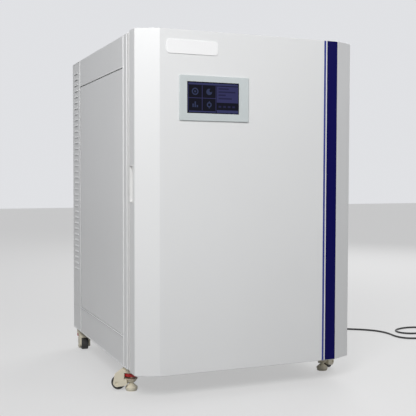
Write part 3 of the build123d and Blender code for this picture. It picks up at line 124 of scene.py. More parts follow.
class Tree:
    """The nodes of a material or a world, made one after another."""

    def __init__(self, owner: bpy.types.Material | bpy.types.World) -> None:
        """Empties the owner's tree."""
        owner.use_nodes = True
        self.owner = owner
        self.nodes = owner.node_tree.nodes
        self.links = owner.node_tree.links
        self.nodes.clear()

    def feed(self, socket: bpy.types.NodeSocket, value: object) -> None:
        """Links a socket to another one, or sets its number or colour.

        Args:
            socket: the input that is fed.
            value: a Socket, a number or a colour of three shares.
        """
        if isinstance(value, Socket):
            self.links.new(value.out, socket)
        elif isinstance(value, (tuple, list)) and socket.type == "RGBA" and len(value) == 3:
            socket.default_value = (*value, 1.0)
        else:
            socket.default_value = value

    def node(self, kind: str, settings: dict | None = None, values: dict | None = None,
             output: int | str = 0) -> Socket:
        """Adds any node.

        Args:
            kind: the node's type, without its ShaderNode prefix.
            settings: its options, which are set first, with a ramp's stops under "stops".
            values: its inputs by name or number, as numbers, colours or sockets.
            output: which output is returned.

        Returns:
            The chosen output as a Socket.
        """
        made = self.nodes.new(f"ShaderNode{kind}")
        for key, value in (settings or {}).items():
            if key == "stops":
                self._stops(made.color_ramp, value)
            else:
                setattr(made, key, value)
        for key, value in (values or {}).items():
            self.feed(made.inputs[key], value)
        return Socket(self, made.outputs[output])

    @staticmethod
    def _stops(ramp: bpy.types.ColorRamp, stops: list[tuple[float, tuple]]) -> None:
        """Gives a ramp its stops.

        Args:
            ramp: the node's colour ramp.
            stops: pairs of place and colour, in order.
        """
        while len(ramp.elements) < len(stops):
            ramp.elements.new(1.0)
        for element, (place, colour) in zip(ramp.elements, stops):
            element.position = place
            element.color = (*colour, 1.0)

    def math(self, operation: str, *values: Socket | float) -> Socket:
        """A Math node on up to three values."""
        return self.node("Math", {"operation": operation}, dict(enumerate(values)))

    def coords(self, scale: tuple = (1.0, 1.0, 1.0), turn: tuple = (0.0, 0.0, 0.0)) -> Socket:
        """Object coordinates in metres, stretched and turned by a Mapping node."""
        place = self.node("TexCoord", output="Object")
        return self.node("Mapping", {"vector_type": "POINT"},
                         {"Vector": place, "Rotation": turn, "Scale": scale})

    def axes(self) -> tuple[Socket, Socket, Socket]:
        """The X, Y and Z of a point, in metres."""
        place = self.node("TexCoord", output="Object")
        split = self.node("SeparateXYZ", values={"Vector": place})
        return tuple(Socket(self, split.out.node.outputs[i]) for i in range(3))

    def noise(self, scale: float, detail: float = 2.0, at: Socket | None = None,
              roughness: float = 0.5) -> Socket:
        """Soft noise from nought to one.

        Args:
            scale: lumps per metre.
            detail: how many finer layers lie over the first.
            at: where it is read, which is the object's own coordinates unless given.
            roughness: how strong the finer layers are.

        Returns:
            The noise as a Socket.
        """
        place = at or self.coords()
        return self.node("TexNoise", values={"Vector": place, "Scale": scale, "Detail": detail,
                                             "Roughness": roughness})

    def cells(self, scale: float, output: str = "Distance") -> Socket:
        """Voronoi cells with a scale per metre: the distance to a cell's middle, or its colour."""
        return self.node("TexVoronoi", values={"Vector": self.coords(), "Scale": scale}, output=output)

    def mix(self, share: Socket | float, first: object, second: object) -> Socket:
        """A colour between two.

        Args:
            share: how much of the second, from nought to one.
            first: a colour or a Socket.
            second: another one.

        Returns:
            The mixed colour as a Socket.
        """
        made = self.nodes.new("ShaderNodeMix")
        made.data_type = "RGBA"
        self.feed(made.inputs["Factor"], share)
        self.feed(made.inputs[6], first)
        self.feed(made.inputs[7], second)
        return Socket(self, made.outputs[2])

    def shade(self, colour: tuple, amount: Socket, depth: float) -> Socket:
        """A colour that darkens by a share of itself as the amount grows."""
        dark = tuple(c * (1.0 - depth) for c in colour[:3])
        return self.mix(amount, colour, dark)

    def bump(self, height: Socket, distance: float, strength: float = 1.0,
             under: Socket | None = None) -> Socket:
        """A Bump node.

        Args:
            height: the relief, from nought to one.
            distance: its depth in metres.
            strength: how much of it shows.
            under: a normal that it adds to.

        Returns:
            The bent normal as a Socket.
        """
        values = {"Height": height, "Distance": distance, "Strength": strength}
        if under is not None:
            values["Normal"] = under
        return self.node("Bump", values=values)

    def seen(self) -> Socket:
        """One for rays from the camera, off a mirror or through glass, and nought for the others."""
        kinds = ("Is Camera Ray", "Is Glossy Ray", "Is Transmission Ray")
        camera, mirrored, through = (self.node("LightPath", output=kind) for kind in kinds)
        return (camera + mirrored + through).clip()


class Coating(Tree):
    """A material's tree, with a Principled shader that the finish fills in."""

    def __init__(self, name: str) -> None:
        """Starts a material of that name with its shader."""
        super().__init__(bpy.data.materials.new(name))
        self.surface = self.nodes.new("ShaderNodeBsdfPrincipled")
        output = self.nodes.new("ShaderNodeOutputMaterial")
        self.links.new(self.surface.outputs[0], output.inputs["Surface"])

    def set(self, **values: object) -> None:
        """Sets inputs of the Principled shader, named with underscores for spaces."""
        for key, value in values.items():
            self.feed(self.surface.inputs[key.replace("_", " ")], value)


@dataclass(frozen=True)
class Finish:
    """A finish that makes one material, named as the record's slot."""

    name: str

    def dress(self, tree: Coating) -> None:
        """Fills in the tree; each finish has its own way."""
        raise NotImplementedError

    def make(self) -> bpy.types.Material:
        """The finished material."""
        tree = Coating(self.name)
        self.dress(tree)
        return tree.owner


@dataclass(frozen=True)
class PowderCoat(Finish):
    """Baked powder coat on sheet steel: a fine orange peel, slightly darker in slow patches and more so
    towards the floor.
    """

    colour: tuple = (0.80, 0.805, 0.805)
    rough: float = 0.36
    peel: float = 0.00004

    def dress(self, tree: Coating) -> None:
        """Two sizes of noise for the peel, and a slow one that darkens the coat in patches, more strongly
        towards the floor.
        """
        grain = tree.noise(900.0, 2.0) * 0.6 + tree.noise(2600.0, 1.0) * 0.4
        slow_patches = tree.noise(3.0, 3.0)
        low = (1.0 - tree.axes()[2] * 2.2).clip()
        # The coat's colour darkens by up to six per cent in slow patches, more strongly below about 45 cm.
        tree.set(Base_Color=tree.shade(self.colour, (slow_patches * 0.6 + low * slow_patches * 0.8).clip(), 0.06),
                 Roughness=slow_patches * 0.1 + self.rough, Normal=tree.bump(grain, self.peel),
                 Coat_Weight=0.12, Coat_Roughness=0.22)


@dataclass(frozen=True)
class Moulded(Finish):
    """Injection-moulded plastic: spark-eroded texture, sink marks and handling."""

    colour: tuple = (0.8, 0.8, 0.8)
    rough: float = 0.5
    texture: float = 1800.0
    depth: float = 0.00003
    stain: float = 0.05
    coat: float = 0.0

    def dress(self, tree: Coating) -> None:
        """Fine noise for the mould's texture over slow noise for sink and dirt."""
        fine = tree.noise(self.texture, 1.0)
        slow = tree.noise(14.0, 3.0)
        tree.set(Base_Color=tree.shade(self.colour, slow, self.stain), Roughness=slow * 0.12 + self.rough,
                 Normal=tree.bump(fine, self.depth), Coat_Weight=self.coat, Coat_Roughness=0.12)


@dataclass(frozen=True)
class SilverFrame(Finish):
    """Silver-painted plastic with metal flake, as on a panel-mounted screen."""

    colour: tuple = (0.62, 0.665, 0.665)

    def dress(self, tree: Coating) -> None:
        """Cells a fifth of a millimetre wide for the flake, over slow noise in the gloss."""
        flake = tree.cells(4800.0)
        slow = tree.noise(20.0, 2.0)
        tree.set(Base_Color=tree.shade(self.colour, flake, 0.10), Metallic=0.35,
                 Roughness=slow * 0.12 + 0.34, Normal=tree.bump(flake, 0.000012))


@dataclass(frozen=True)
class Film(Finish):
    """Printed film: the wide stripe is navy, and the thin one beside it a lighter blue."""

    wide: tuple = (0.0022, 0.0014, 0.0760)
    thin: tuple = (0.046, 0.062, 0.290)
    split: float = 0.238

    def dress(self, tree: Coating) -> None:
        """The X of a point tells the two strips apart; a slow wave in the gloss shows how the film lies, and
        the same wave lightens the ink a little towards pale blue as a painted sheen.
        """
        across = tree.axes()[0]
        lay_and_sheen = tree.noise(9.0, 2.0, tree.coords((6.0, 1.0, 0.6)))
        ink = tree.mix(across > self.split, self.thin, self.wide)
        # The ink is lightened towards pale blue along the same slow wave: a painted sheen.
        tree.set(Base_Color=tree.mix(lay_and_sheen * 0.04, ink, (0.05, 0.05, 0.20)), Roughness=lay_and_sheen * 0.1 + 0.30,
                 Normal=tree.bump(lay_and_sheen, 0.0002), Specular_IOR_Level=0.07)


@dataclass(frozen=True)
class Display(Finish):
    """Lit touch screen under glass: a header, four tiles with plain signs, and a column of readings."""

    ground: tuple = (0.0016, 0.0016, 0.0090)
    bar: tuple = (0.040, 0.044, 0.135)
    block: tuple = (0.036, 0.036, 0.122)
    sign: tuple = (0.034, 0.046, 0.112)
    row: tuple = (0.016, 0.016, 0.062)
    glow: float = 0.75

    def dress(self, tree: Coating) -> None:
        """Rectangles, discs and rings over shares u and v of the glass, painted one over the other."""
        low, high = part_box("touch_screen")
        x, _, z = tree.axes()
        u = (x - low[0]) / (high[0] - low[0])
        v = (z - low[2]) / (high[2] - low[2])
        tall = (high[0] - low[0]) / (high[2] - low[2])

        def area(u0: float, u1: float, v0: float, v1: float) -> Socket:
            """One inside a rectangle."""
            return u.within(u0, u1) * v.within(v0, v1)

        def away(cu: float, cv: float) -> Socket:
            """Distance from a point, as a share of the glass's height."""
            return (((u - cu) * tall).math("POWER", 2.0) + (v - cv).math("POWER", 2.0)).math("SQRT")

        paint = self.ground
        layers = [
            (area(0.02, 0.98, 0.905, 0.965), self.bar),
            (area(0.565, 0.985, 0.36, 0.88), self.block),
            (area(0.565, 0.985, 0.03, 0.12), self.bar),
            (area(0.03, 0.55, 0.035, 0.075), self.bar),
        ]
        layers += [(area(c - 0.006, c + 0.006, 0.09, 0.89), self.block) for c in (0.02, 0.285, 0.55)]
        layers.append((area(0.02, 0.55, 0.475, 0.495), self.block))
        layers += [(area(0.60, 0.60 + w, r, r + 0.045), self.row)
                   for r, w in ((0.78, 0.20), (0.68, 0.33), (0.58, 0.14), (0.47, 0.26))]
        layers += [(area(0.60 + 0.09 * i, 0.655 + 0.09 * i, 0.20, 0.26), self.row) for i in range(4)]
        ring = away(0.15, 0.69)
        layers.append((ring.within(0.075, 0.115) + (ring < 0.035), self.sign))
        layers.append(((away(0.42, 0.69) < 0.10) - (away(0.45, 0.73) < 0.05), self.sign))
        layers.append((area(0.10, 0.125, 0.19, 0.30) + area(0.14, 0.165, 0.19, 0.37)
                       + area(0.18, 0.205, 0.19, 0.26), self.sign))
        gear = away(0.42, 0.28)
        layers.append((gear.within(0.045, 0.085) + area(0.413, 0.427, 0.16, 0.20)
                       + area(0.413, 0.427, 0.36, 0.40), self.sign))
        for mask, colour in layers:
            paint = tree.mix(mask.clip(), paint, colour)
        smear = tree.noise(30.0, 3.0)
        tree.set(Base_Color=(0.002, 0.002, 0.003), Emission_Color=paint, Emission_Strength=self.glow,
                 Roughness=smear * 0.08 + 0.06, Specular_IOR_Level=0.12)


@dataclass(frozen=True)
class Brushed(Finish):
    """Brushed steel sheet with a grain along one axis."""

    colour: tuple = (0.60, 0.60, 0.59)
    grain: Grain = Grain.ALONG_X
    rough: float = 0.27
    depth: float = 0.000018

    def dress(self, tree: Coating) -> None:
        """Noise stretched along the grain sets gloss and bump, with slow stains over it."""
        lines = tree.noise(1.0, 4.0, tree.coords(self.grain.value), 0.7)
        slow = tree.noise(8.0, 3.0)
        tree.set(Base_Color=tree.shade(self.colour, lines * 0.7 + slow * 0.3, 0.22), Metallic=1.0,
                 Roughness=lines * 0.16 + slow * 0.08 + self.rough, Normal=tree.bump(lines, self.depth))


@dataclass(frozen=True)
class Galvanised(Finish):
    """Zinc-coated steel with its spangle."""

    colour: tuple = (0.50, 0.51, 0.52)

    def dress(self, tree: Coating) -> None:
        """Each zinc crystal, about a centimetre wide, has its own shade and gloss."""
        crystal = tree.node("SeparateColor", values={"Color": tree.cells(95.0, "Color")})
        bloom = tree.noise(40.0, 3.0)
        tree.set(Base_Color=tree.shade(self.colour, crystal * 0.6 + bloom * 0.4, 0.3), Metallic=0.9,
                 Roughness=crystal * 0.18 + 0.36, Normal=tree.bump(bloom, 0.00003))


@dataclass(frozen=True)
class CastMetal(Finish):
    """Painted die casting with a pebbled skin."""

    colour: tuple = (0.05, 0.05, 0.056)

    def dress(self, tree: Coating) -> None:
        """Cells a millimetre wide for the pebble, with rubbed high spots."""
        pebble = tree.cells(900.0)
        rub = tree.noise(25.0, 3.0)
        tree.set(Base_Color=tree.mix(rub * 0.3, self.colour, (0.12, 0.12, 0.13)), Metallic=0.5,
                 Roughness=rub * 0.2 + 0.42, Normal=tree.bump(pebble, 0.00008))


@dataclass(frozen=True)
class TurnedBrass(Finish):
    """Turned brass, tarnished here and there."""

    colour: tuple = (0.62, 0.44, 0.18)

    def dress(self, tree: Coating) -> None:
        """Fine rings along Y left by the tool, under slow tarnish."""
        along = tree.axes()[1]
        rings = (along * 14000.0).math("SINE") * 0.5 + 0.5
        tarnish = tree.noise(60.0, 3.0)
        tree.set(Base_Color=tree.mix(tarnish * 0.5, self.colour, (0.30, 0.19, 0.08)), Metallic=1.0,
                 Roughness=tarnish * 0.25 + 0.22, Normal=tree.bump(rings, 0.00001))


@dataclass(frozen=True)
class Rubber(Finish):
    """Rubber or silicone with a dull, slightly dusty skin."""

    colour: tuple = (0.2, 0.2, 0.2)
    rough: float = 0.6
    dust: tuple = (0.35, 0.34, 0.32)
    dusting: float = 0.12
    glow: float = 0.0

    def dress(self, tree: Coating) -> None:
        """Dust lies in slow patches; the skin has a fine tooth."""
        patch = tree.noise(35.0, 4.0)
        tooth = tree.noise(2200.0, 1.0)
        tree.set(Base_Color=tree.mix(patch * self.dusting, self.colour, self.dust),
                 Roughness=patch * 0.15 + self.rough, Normal=tree.bump(tooth, 0.00003),
                 Subsurface_Weight=self.glow, Subsurface_Radius=(0.004, 0.004, 0.004))


@dataclass(frozen=True)
class Foam(Finish):
    """Sprayed closed-cell foam."""

    colour: tuple = (0.74, 0.62, 0.36)

    def dress(self, tree: Coating) -> None:
        """Cells of two sizes over lumps from the spray."""
        bubbles = tree.cells(420.0) * 0.6 + tree.cells(1100.0) * 0.4
        lumps = tree.noise(22.0, 3.0)
        tree.set(Base_Color=tree.shade(self.colour, bubbles * 0.6 + lumps * 0.4, 0.3), Roughness=0.9,
                 Normal=tree.bump(lumps, 0.003, under=tree.bump(bubbles, 0.0006)))


@dataclass(frozen=True)
class FilterPaper(Finish):
    """Pleated filter paper inside a white moulded rim."""

    colour: tuple = (0.84, 0.83, 0.79)
    pleats: int = 90

    def dress(self, tree: Coating) -> None:
        """Pleats are a wave of the angle about the filter's middle that bends the normal and darkens the
        paper across each pleat as painted shade; fibres are fine noise.
        """
        low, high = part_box("hepa_filter")
        x, _, z = tree.axes()
        angle = (z - (low[2] + high[2]) / 2).math("ARCTAN2", x - (low[0] + high[0]) / 2)
        wave = (angle * float(self.pleats)).math("SINE") * 0.5 + 0.5
        fibre = tree.noise(1500.0, 2.0)
        # The pleat wave darkens the colour across each pleat as painted shade; the fibre noise is the
        # paper's own tone.
        tree.set(Base_Color=tree.shade(self.colour, wave * 0.7 + fibre * 0.3, 0.22), Roughness=0.85,
                 Normal=tree.bump(wave, 0.0004, under=tree.bump(fibre, 0.00005)))


@dataclass(frozen=True)
class CircuitBoard(Finish):
    """Green board with tracks; its taller parts are black and grey."""

    colour: tuple = (0.012, 0.10, 0.035)
    track: tuple = (0.03, 0.19, 0.07)
    part: tuple = (0.03, 0.03, 0.032)
    part_height: float = 0.0125

    def dress(self, tree: Coating) -> None:
        """Tracks are bands of stepped cells, and what stands above the board's top is a part."""
        low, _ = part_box("control_board")
        x, y, z = tree.axes()
        steps = (y * 40.0).math("FLOOR") * 0.37
        bands = (x * 260.0 + steps).math("FRACT") > 0.72
        lines = bands * (tree.cells(60.0) > 0.3)
        tall = z > low[2] + self.part_height
        tree.set(Base_Color=tree.mix(tall, tree.mix(lines, self.colour, self.track), self.part),
                 Roughness=tree.noise(50.0) * 0.2 + 0.3, Normal=tree.bump(lines, 0.00004))


@dataclass(frozen=True)
class ToughGlass(Finish):
    """Clear toughened glass with a faint green body and fingerprints."""

    def dress(self, tree: Coating) -> None:
        """Fingerprints are patches of slightly duller gloss."""
        prints = (tree.noise(18.0, 3.0) - 0.5).clip()
        tree.set(Base_Color=(0.93, 0.98, 0.96), Roughness=prints * 0.12 + 0.015,
                 Transmission_Weight=1.0, IOR=1.5)


@dataclass(frozen=True)
class Sheath(Finish):
    """Flexible sheath of the lead, with the faint twist of its cores."""

    colour: tuple = (0.014, 0.014, 0.015)

    def dress(self, tree: Coating) -> None:
        """The cores' twist is a slanting wave along the lead; scuffs are slow noise."""
        x, y, z = tree.axes()
        twist = ((x + y * 0.7 + z * 0.4) * 260.0).math("SINE") * 0.5 + 0.5
        scuff = tree.noise(60.0, 3.0)
        tree.set(Base_Color=tree.mix(scuff * 0.12, self.colour, (0.16, 0.155, 0.15)),
                 Roughness=scuff * 0.2 + 0.38, Normal=tree.bump(twist, 0.00008))


@dataclass(frozen=True)
class Tyre(Finish):
    """Moulded black tread with a fine cross-hatch and dust in it."""

    colour: tuple = (0.020, 0.020, 0.022)

    def dress(self, tree: Coating) -> None:
        """A fine tooth, and pale dust in slow patches."""
        dust = tree.noise(120.0, 4.0)
        tooth = tree.noise(1500.0, 2.0)
        tree.set(Base_Color=tree.mix(dust * 0.25, self.colour, (0.14, 0.125, 0.11)),
                 Roughness=dust * 0.2 + 0.5, Normal=tree.bump(tooth, 0.00008))


FINISHES = (
    PowderCoat("white_coat"),
    Moulded("inner_white", colour=(0.80, 0.80, 0.79), rough=0.42, texture=1500.0, depth=0.00003,
            stain=0.04),
    Galvanised("zinc_steel"),
    Brushed("stainless"),
    Foam("foam"),
    Rubber("grey_seal", colour=(0.16, 0.165, 0.17), rough=0.55, dust=(0.4, 0.4, 0.4), dusting=0.15),
    Rubber("white_seal", colour=(0.74, 0.74, 0.71), rough=0.42, dust=(0.6, 0.58, 0.54), dusting=0.10,
           glow=0.15),
    ToughGlass("clear_glass"),
    SilverFrame("silver_plastic"),
    Display("display"),
    Moulded("blank_badge", colour=(0.93, 0.93, 0.93), rough=0.14, texture=300.0, depth=0.000006,
            stain=0.01, coat=0.5),
    Film("navy_stripe"),
    FilterPaper("filter_media"),
    CastMetal("dark_metal"),
    Moulded("grey_plastic", colour=(0.36, 0.37, 0.38), rough=0.45, texture=1700.0, depth=0.00004,
            stain=0.07),
    CircuitBoard("green_board"),
    TurnedBrass("brass"),
    Moulded("black_plastic", colour=(0.018, 0.018, 0.019), rough=0.38, texture=1900.0,
            depth=0.00004, stain=0.2),
    Sheath("black_cord"),
    Moulded("cream_nylon", colour=(0.78, 0.72, 0.57), rough=0.42, texture=1100.0, depth=0.00005,
            stain=0.16, coat=0.1),
    Tyre("black_tyre"),
    Moulded("red_plastic", colour=(0.46, 0.010, 0.009), rough=0.34, texture=1400.0, depth=0.00003,
            stain=0.15, coat=0.1),
)


def grid_mesh(name: str, sheets: list[np.ndarray], wrap: bool) -> bpy.types.Mesh:
    """Makes one mesh from several grids of points.

    Args:
        name: the mesh's name.
        sheets: arrays of rows, columns and three coordinates, each one surface.
        wrap: whether each row closes on itself.

    Returns:
        The mesh, shaded smooth, with its doubles merged and its faces pointing outwards.
    """
    points, faces, start = [], [], 0
    for sheet in sheets:
        rows, cols = sheet.shape[:2]
        index = start + np.arange(rows * cols).reshape(rows, cols)
        nearer = np.concatenate([index, index[:, :1]], axis=1) if wrap else index
        quads = np.stack([nearer[:-1, :-1], nearer[:-1, 1:], nearer[1:, 1:], nearer[1:, :-1]], axis=-1)
        points.append(sheet.reshape(-1, 3))
        faces.append(quads.reshape(-1, 4))
        start += rows * cols
    mesh = bpy.data.meshes.new(name)
    mesh.from_pydata(np.concatenate(points).tolist(), [], np.concatenate(faces).tolist())
    tidy_mesh(mesh)
    return mesh


def tidy_mesh(mesh: bpy.types.Mesh) -> None:
    """Merges doubles, drops empty faces, turns the faces outwards and shades them smooth."""
    work = bmesh.new()
    work.from_mesh(mesh)
    bmesh.ops.remove_doubles(work, verts=work.verts, dist=1e-6)
    bmesh.ops.dissolve_degenerate(work, edges=work.edges, dist=1e-7)
    bmesh.ops.recalc_face_normals(work, faces=work.faces)
    work.to_mesh(mesh)
    work.free()
    mesh.polygons.foreach_set("use_smooth", np.ones(len(mesh.polygons), dtype=bool))
    mesh.update()


def add_piece(name: str, mesh: bpy.types.Mesh, material: bpy.types.Material,
              body: str) -> bpy.types.Object:
    """Puts a finished mesh into the scene.

    Args:
        name: the piece's name.
        mesh: its shape.
        material: its finish.
        body: the body that it rides on.

    Returns:
        The piece.
    """
    mesh.materials.append(material)
    piece = bpy.data.objects.new(name, mesh)
    bpy.context.scene.collection.objects.link(piece)
    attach(piece, body)
    return piece


@dataclass
class PanScrews:
    """Cross-recess screws of the rear panel."""

    radius: float = 0.0042
    height: float = 0.0024
    slot_half: float = 0.00042
    slot_reach: float = 0.0021
    slot_depth: float = 0.0012
    wall_blend: float = 0.0002
    crown: float = 0.55
    rings: int = 16
    spokes: int = 48

    def places(self) -> np.ndarray:
        """Middles of the screws' seats, worked out from the node's box as the part spaces them.

        Returns:
            An array of twelve places.
        """
        low, high = (np.array(c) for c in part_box("panel_screws"))
        x0, x1 = low[0] + self.radius, high[0] - self.radius
        z0, z1 = low[2] + self.radius, high[2] - self.radius
        heights = np.linspace(z0, z1, 5)
        edge = [(x, low[1], z) for z in heights for x in (x0, x1)]
        middle = (x0 + x1) / 2
        return np.array(edge + [(middle, low[1], z0), (middle, low[1], z1)])

    def head(self) -> np.ndarray:
        """One head as a grid of rings and spokes.

        The height over the seat is the head's height times the square root of 1 less the crown times
        the square of the ring's share, and it sinks by the recess where the nearer of the two slots'
        middle lines is within half a slot's width. The last ring drops to the seat.

        Returns:
            An array of rings, spokes and three coordinates.
        """
        share = np.concatenate([np.linspace(0.0, 1.0, self.rings), [1.0]])[:, None]
        angle = np.linspace(0.0, 2 * math.pi, self.spokes, endpoint=False)[None, :]
        across = self.radius * share * np.cos(angle)
        up = self.radius * share * np.sin(angle)
        rise = self.height * np.sqrt(1.0 - self.crown * share ** 2) * np.ones_like(angle)
        near = np.minimum(np.abs(across), np.abs(up))
        far = np.maximum(np.abs(across), np.abs(up))
        inside = np.clip((self.slot_half - near) / self.wall_blend + 0.5, 0, 1)
        reached = np.clip((self.slot_reach - far) / self.wall_blend, 0, 1)
        rise = rise - self.slot_depth * inside * reached
        rise[-1, :] = 0.0
        return np.stack([across, rise, up], axis=-1)

    def build(self, material: bpy.types.Material) -> bpy.types.Object:
        """All the screws as one piece.

        Args:
            material: their finish.

        Returns:
            The piece, which takes the place of the part's plain screws.
        """
        head = self.head()
        foot = head[-1:, :, :] * np.array([0.0, 1.0, 0.0])
        head = np.concatenate([head, foot])
        sheets = [head + place for place in self.places()]
        piece = add_piece("rear_panel_screws", grid_mesh("rear_panel_screws_mesh", sheets, True),
                          material, "cabinet")
        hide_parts("panel_screws")
        return piece


@dataclass
class EdgeBeads:
    """Rolled beads along the hems and seams of the cabinet's two sides."""

    half_width: float = 0.0018
    proud: float = 0.0020
    low_proud: float = 0.0010
    lift: float = 0.0010
    sunk: float = 0.0004
    spokes: int = 20
    end_steps: int = 6

    def bead(self, start: tuple, end: tuple, out: tuple, proud: float) -> np.ndarray:
        """One bead as a closed tube along a straight line.

        The section is half an ellipse that stands proud of the sheet, and a flatter one sunk into it.
        Near an end it shrinks by the square root of 1 less the square of 1 - d, with d the distance to
        that end over the bead's half width, so that both ends are round.

        Args:
            start: where the line begins.
            end: where it ends.
            out: the direction that the sheet faces.
            proud: how far the bead stands out.

        Returns:
            An array of stations, spokes and three coordinates.
        """
        start, end, out = (np.array(place, dtype=float) for place in (start, end, out))
        length = np.linalg.norm(end - start)
        along = (end - start) / length
        across = np.cross(along, out)
        step = self.half_width * (1.0 - np.cos(np.linspace(0.0, math.pi / 2, self.end_steps)))
        place = np.concatenate([step, length - step[::-1]])
        near = np.clip(np.minimum(place, length - place) / self.half_width, 0.0, 1.0)
        size = np.sqrt(1.0 - (1.0 - near) ** 2)[:, None, None]
        angle = np.linspace(0.0, 2 * math.pi, self.spokes, endpoint=False)
        rise = np.where(np.cos(angle) > 0, proud, self.sunk) * np.cos(angle)
        wide = self.half_width * np.sin(angle)
        section = rise[None, :, None] * out + wide[None, :, None] * across
        return start + place[:, None, None] * along + size * section

    def side(self, panel: str, post: str, sign: float) -> list[np.ndarray]:
        """The beads of one side, placed by the boxes of the shell, its panel and its rear post.

        Args:
            panel: the side panel's node.
            post: the rear post's node.
            sign: 1.0 for the right side and -1.0 for the left.

        Returns:
            One array for each bead.
        """
        shell_low, shell_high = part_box("cabinet_shell")
        low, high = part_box(panel)
        post_low, post_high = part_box(post)
        x = high[0] if sign > 0 else low[0]
        seam = (post_low[1] - high[1]) / 2
        bottom, top = shell_low[2] + self.half_width, shell_high[2] - self.half_width
        front, rear = shell_low[1] + self.half_width, post_high[1] - self.half_width
        out = (sign, 0.0, 0.0)
        beads = [self.bead((x, y, bottom), (x, y, top), out, self.proud)
                 for y in (front, low[1] - seam, high[1] + seam)]
        beads.append(self.bead((x, front, bottom), (x, rear, bottom), out, self.proud))
        for z, proud in ((low[2] + self.lift, self.proud + self.lift), (high[2] + seam, self.low_proud)):
            beads.append(self.bead((x, low[1], z), (x, high[1], z), out, proud))
        return beads

    def build(self, material: bpy.types.Material) -> bpy.types.Object:
        """All the beads of both sides as one piece."""
        sheets = (self.side("left_side_panel", "left_rear_post", -1.0)
                  + self.side("right_side_panel", "right_rear_post", 1.0))
        return add_piece("cabinet_edge_beads", grid_mesh("cabinet_edge_beads_mesh", sheets, True),
                         material, "cabinet")


@dataclass
class ReliefRibs:
    """Moulded rings on the connector's strain relief."""

    start_radius: float = 0.0085
    end_radius: float = 0.0047
    length: float = 0.028
    proud: float = 0.0008
    sunk: float = 0.0003
    half_share: float = 0.055
    stations: int = 9
    count: int = 5
    spokes: int = 40

    def build(self, material: bpy.types.Material, exit_point: tuple) -> bpy.types.Object:
        """Rings round the taper: radius = taper at the ring plus a raised half wave along it.

        Args:
            material: their finish.
            exit_point: where the lead leaves the relief.

        Returns:
            The piece.
        """
        angle = np.linspace(0.0, 2 * math.pi, self.spokes, endpoint=False)[None, :]
        sheets = []
        for i in range(self.count):
            middle = (i + 1.0) / (self.count + 1.0)
            along = np.linspace(-self.half_share, self.half_share, self.stations)[:, None]
            taper = self.start_radius + (self.end_radius - self.start_radius) * (middle + along)
            wave = np.cos(along / self.half_share * math.pi / 2)
            radius = taper - self.sunk + (self.proud + self.sunk) * wave
            depth = exit_point[1] - self.length * (1.0 - middle - along) * np.ones_like(angle)
            sheets.append(np.stack([exit_point[0] + radius * np.cos(angle), depth,
                                    exit_point[2] + radius * np.sin(angle)], axis=-1))
        closed = []
        for sheet in sheets:
            near, far = (np.broadcast_to(end.mean(axis=0), end.shape)[None] for end in (sheet[0], sheet[-1]))
            closed.append(np.concatenate([near, sheet, far]))
        return add_piece("connector_relief_ribs", grid_mesh("connector_relief_ribs_mesh", closed, True),
                         material, "cabinet")


@dataclass
class Lead:
    """Mains lead on the floor behind and beside the cabinet, with its connector and plug."""

    radius: float = 0.0035
    length: float = 1.7214
    route: list[tuple[float, float, float]] = field(default_factory=lambda: [
        (0.232, 0.4285, 0.212), (0.232, 0.474, 0.212), (0.236, 0.516, 0.186), (0.246, 0.538, 0.136),
        (0.256, 0.542, 0.088), (0.274, 0.535, 0.042), (0.308, 0.519, 0.011), (0.360, 0.494, 0.0036),
        (0.428, 0.446, 0.0036), (0.512, 0.398, 0.0036), (0.598, 0.352, 0.0036), (0.676, 0.300, 0.0036),
        (0.733, 0.260, 0.0036), (0.786, 0.226, 0.0036), (0.828, 0.180, 0.0036), (0.839, 0.126, 0.0036),
        (0.829, 0.068, 0.0036), (0.844, 0.026, 0.0036), (0.888, 0.006, 0.0036), (0.938, -0.006, 0.0036),
        (0.984, -0.006, 0.0036), (1.014, 0.022, 0.0036), (1.018, 0.064, 0.0036), (0.986, 0.092, 0.0036),
        (0.944, 0.084, 0.0036), (0.904, 0.096, 0.0036), (0.884, 0.132, 0.0036), (0.900, 0.170, 0.0036),
        (0.944, 0.192, 0.0036), (0.994, 0.196, 0.0036), (1.034, 0.174, 0.0036), (1.054, 0.134, 0.0036),
        (1.056, 0.092, 0.0036),
    ])

    def build(self, material: bpy.types.Material) -> bpy.types.Object:
        """The lead as one smooth NURBS curve with a round bevel, and the ribs on its connector.

        Args:
            material: the finish of both.

        Returns:
            The lead.
        """
        curve = bpy.data.curves.new("mains_lead_curve", "CURVE")
        curve.dimensions = "3D"
        curve.resolution_u = 12
        curve.bevel_depth = self.radius
        curve.bevel_resolution = 5
        curve.use_fill_caps = True
        spline = curve.splines.new("NURBS")
        spline.points.add(len(self.route) - 1)
        for point, place in zip(spline.points, self.route):
            point.co = (*place, 1.0)
        spline.order_u = 3
        spline.use_endpoint_u = True
        curve.materials.append(material)
        lead = bpy.data.objects.new("mains_lead_flex", curve)
        bpy.context.scene.collection.objects.link(lead)
        ribs = ReliefRibs().build(material, self.route[0])
        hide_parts("mains_lead")
        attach(lead, "cabinet")
        return lead


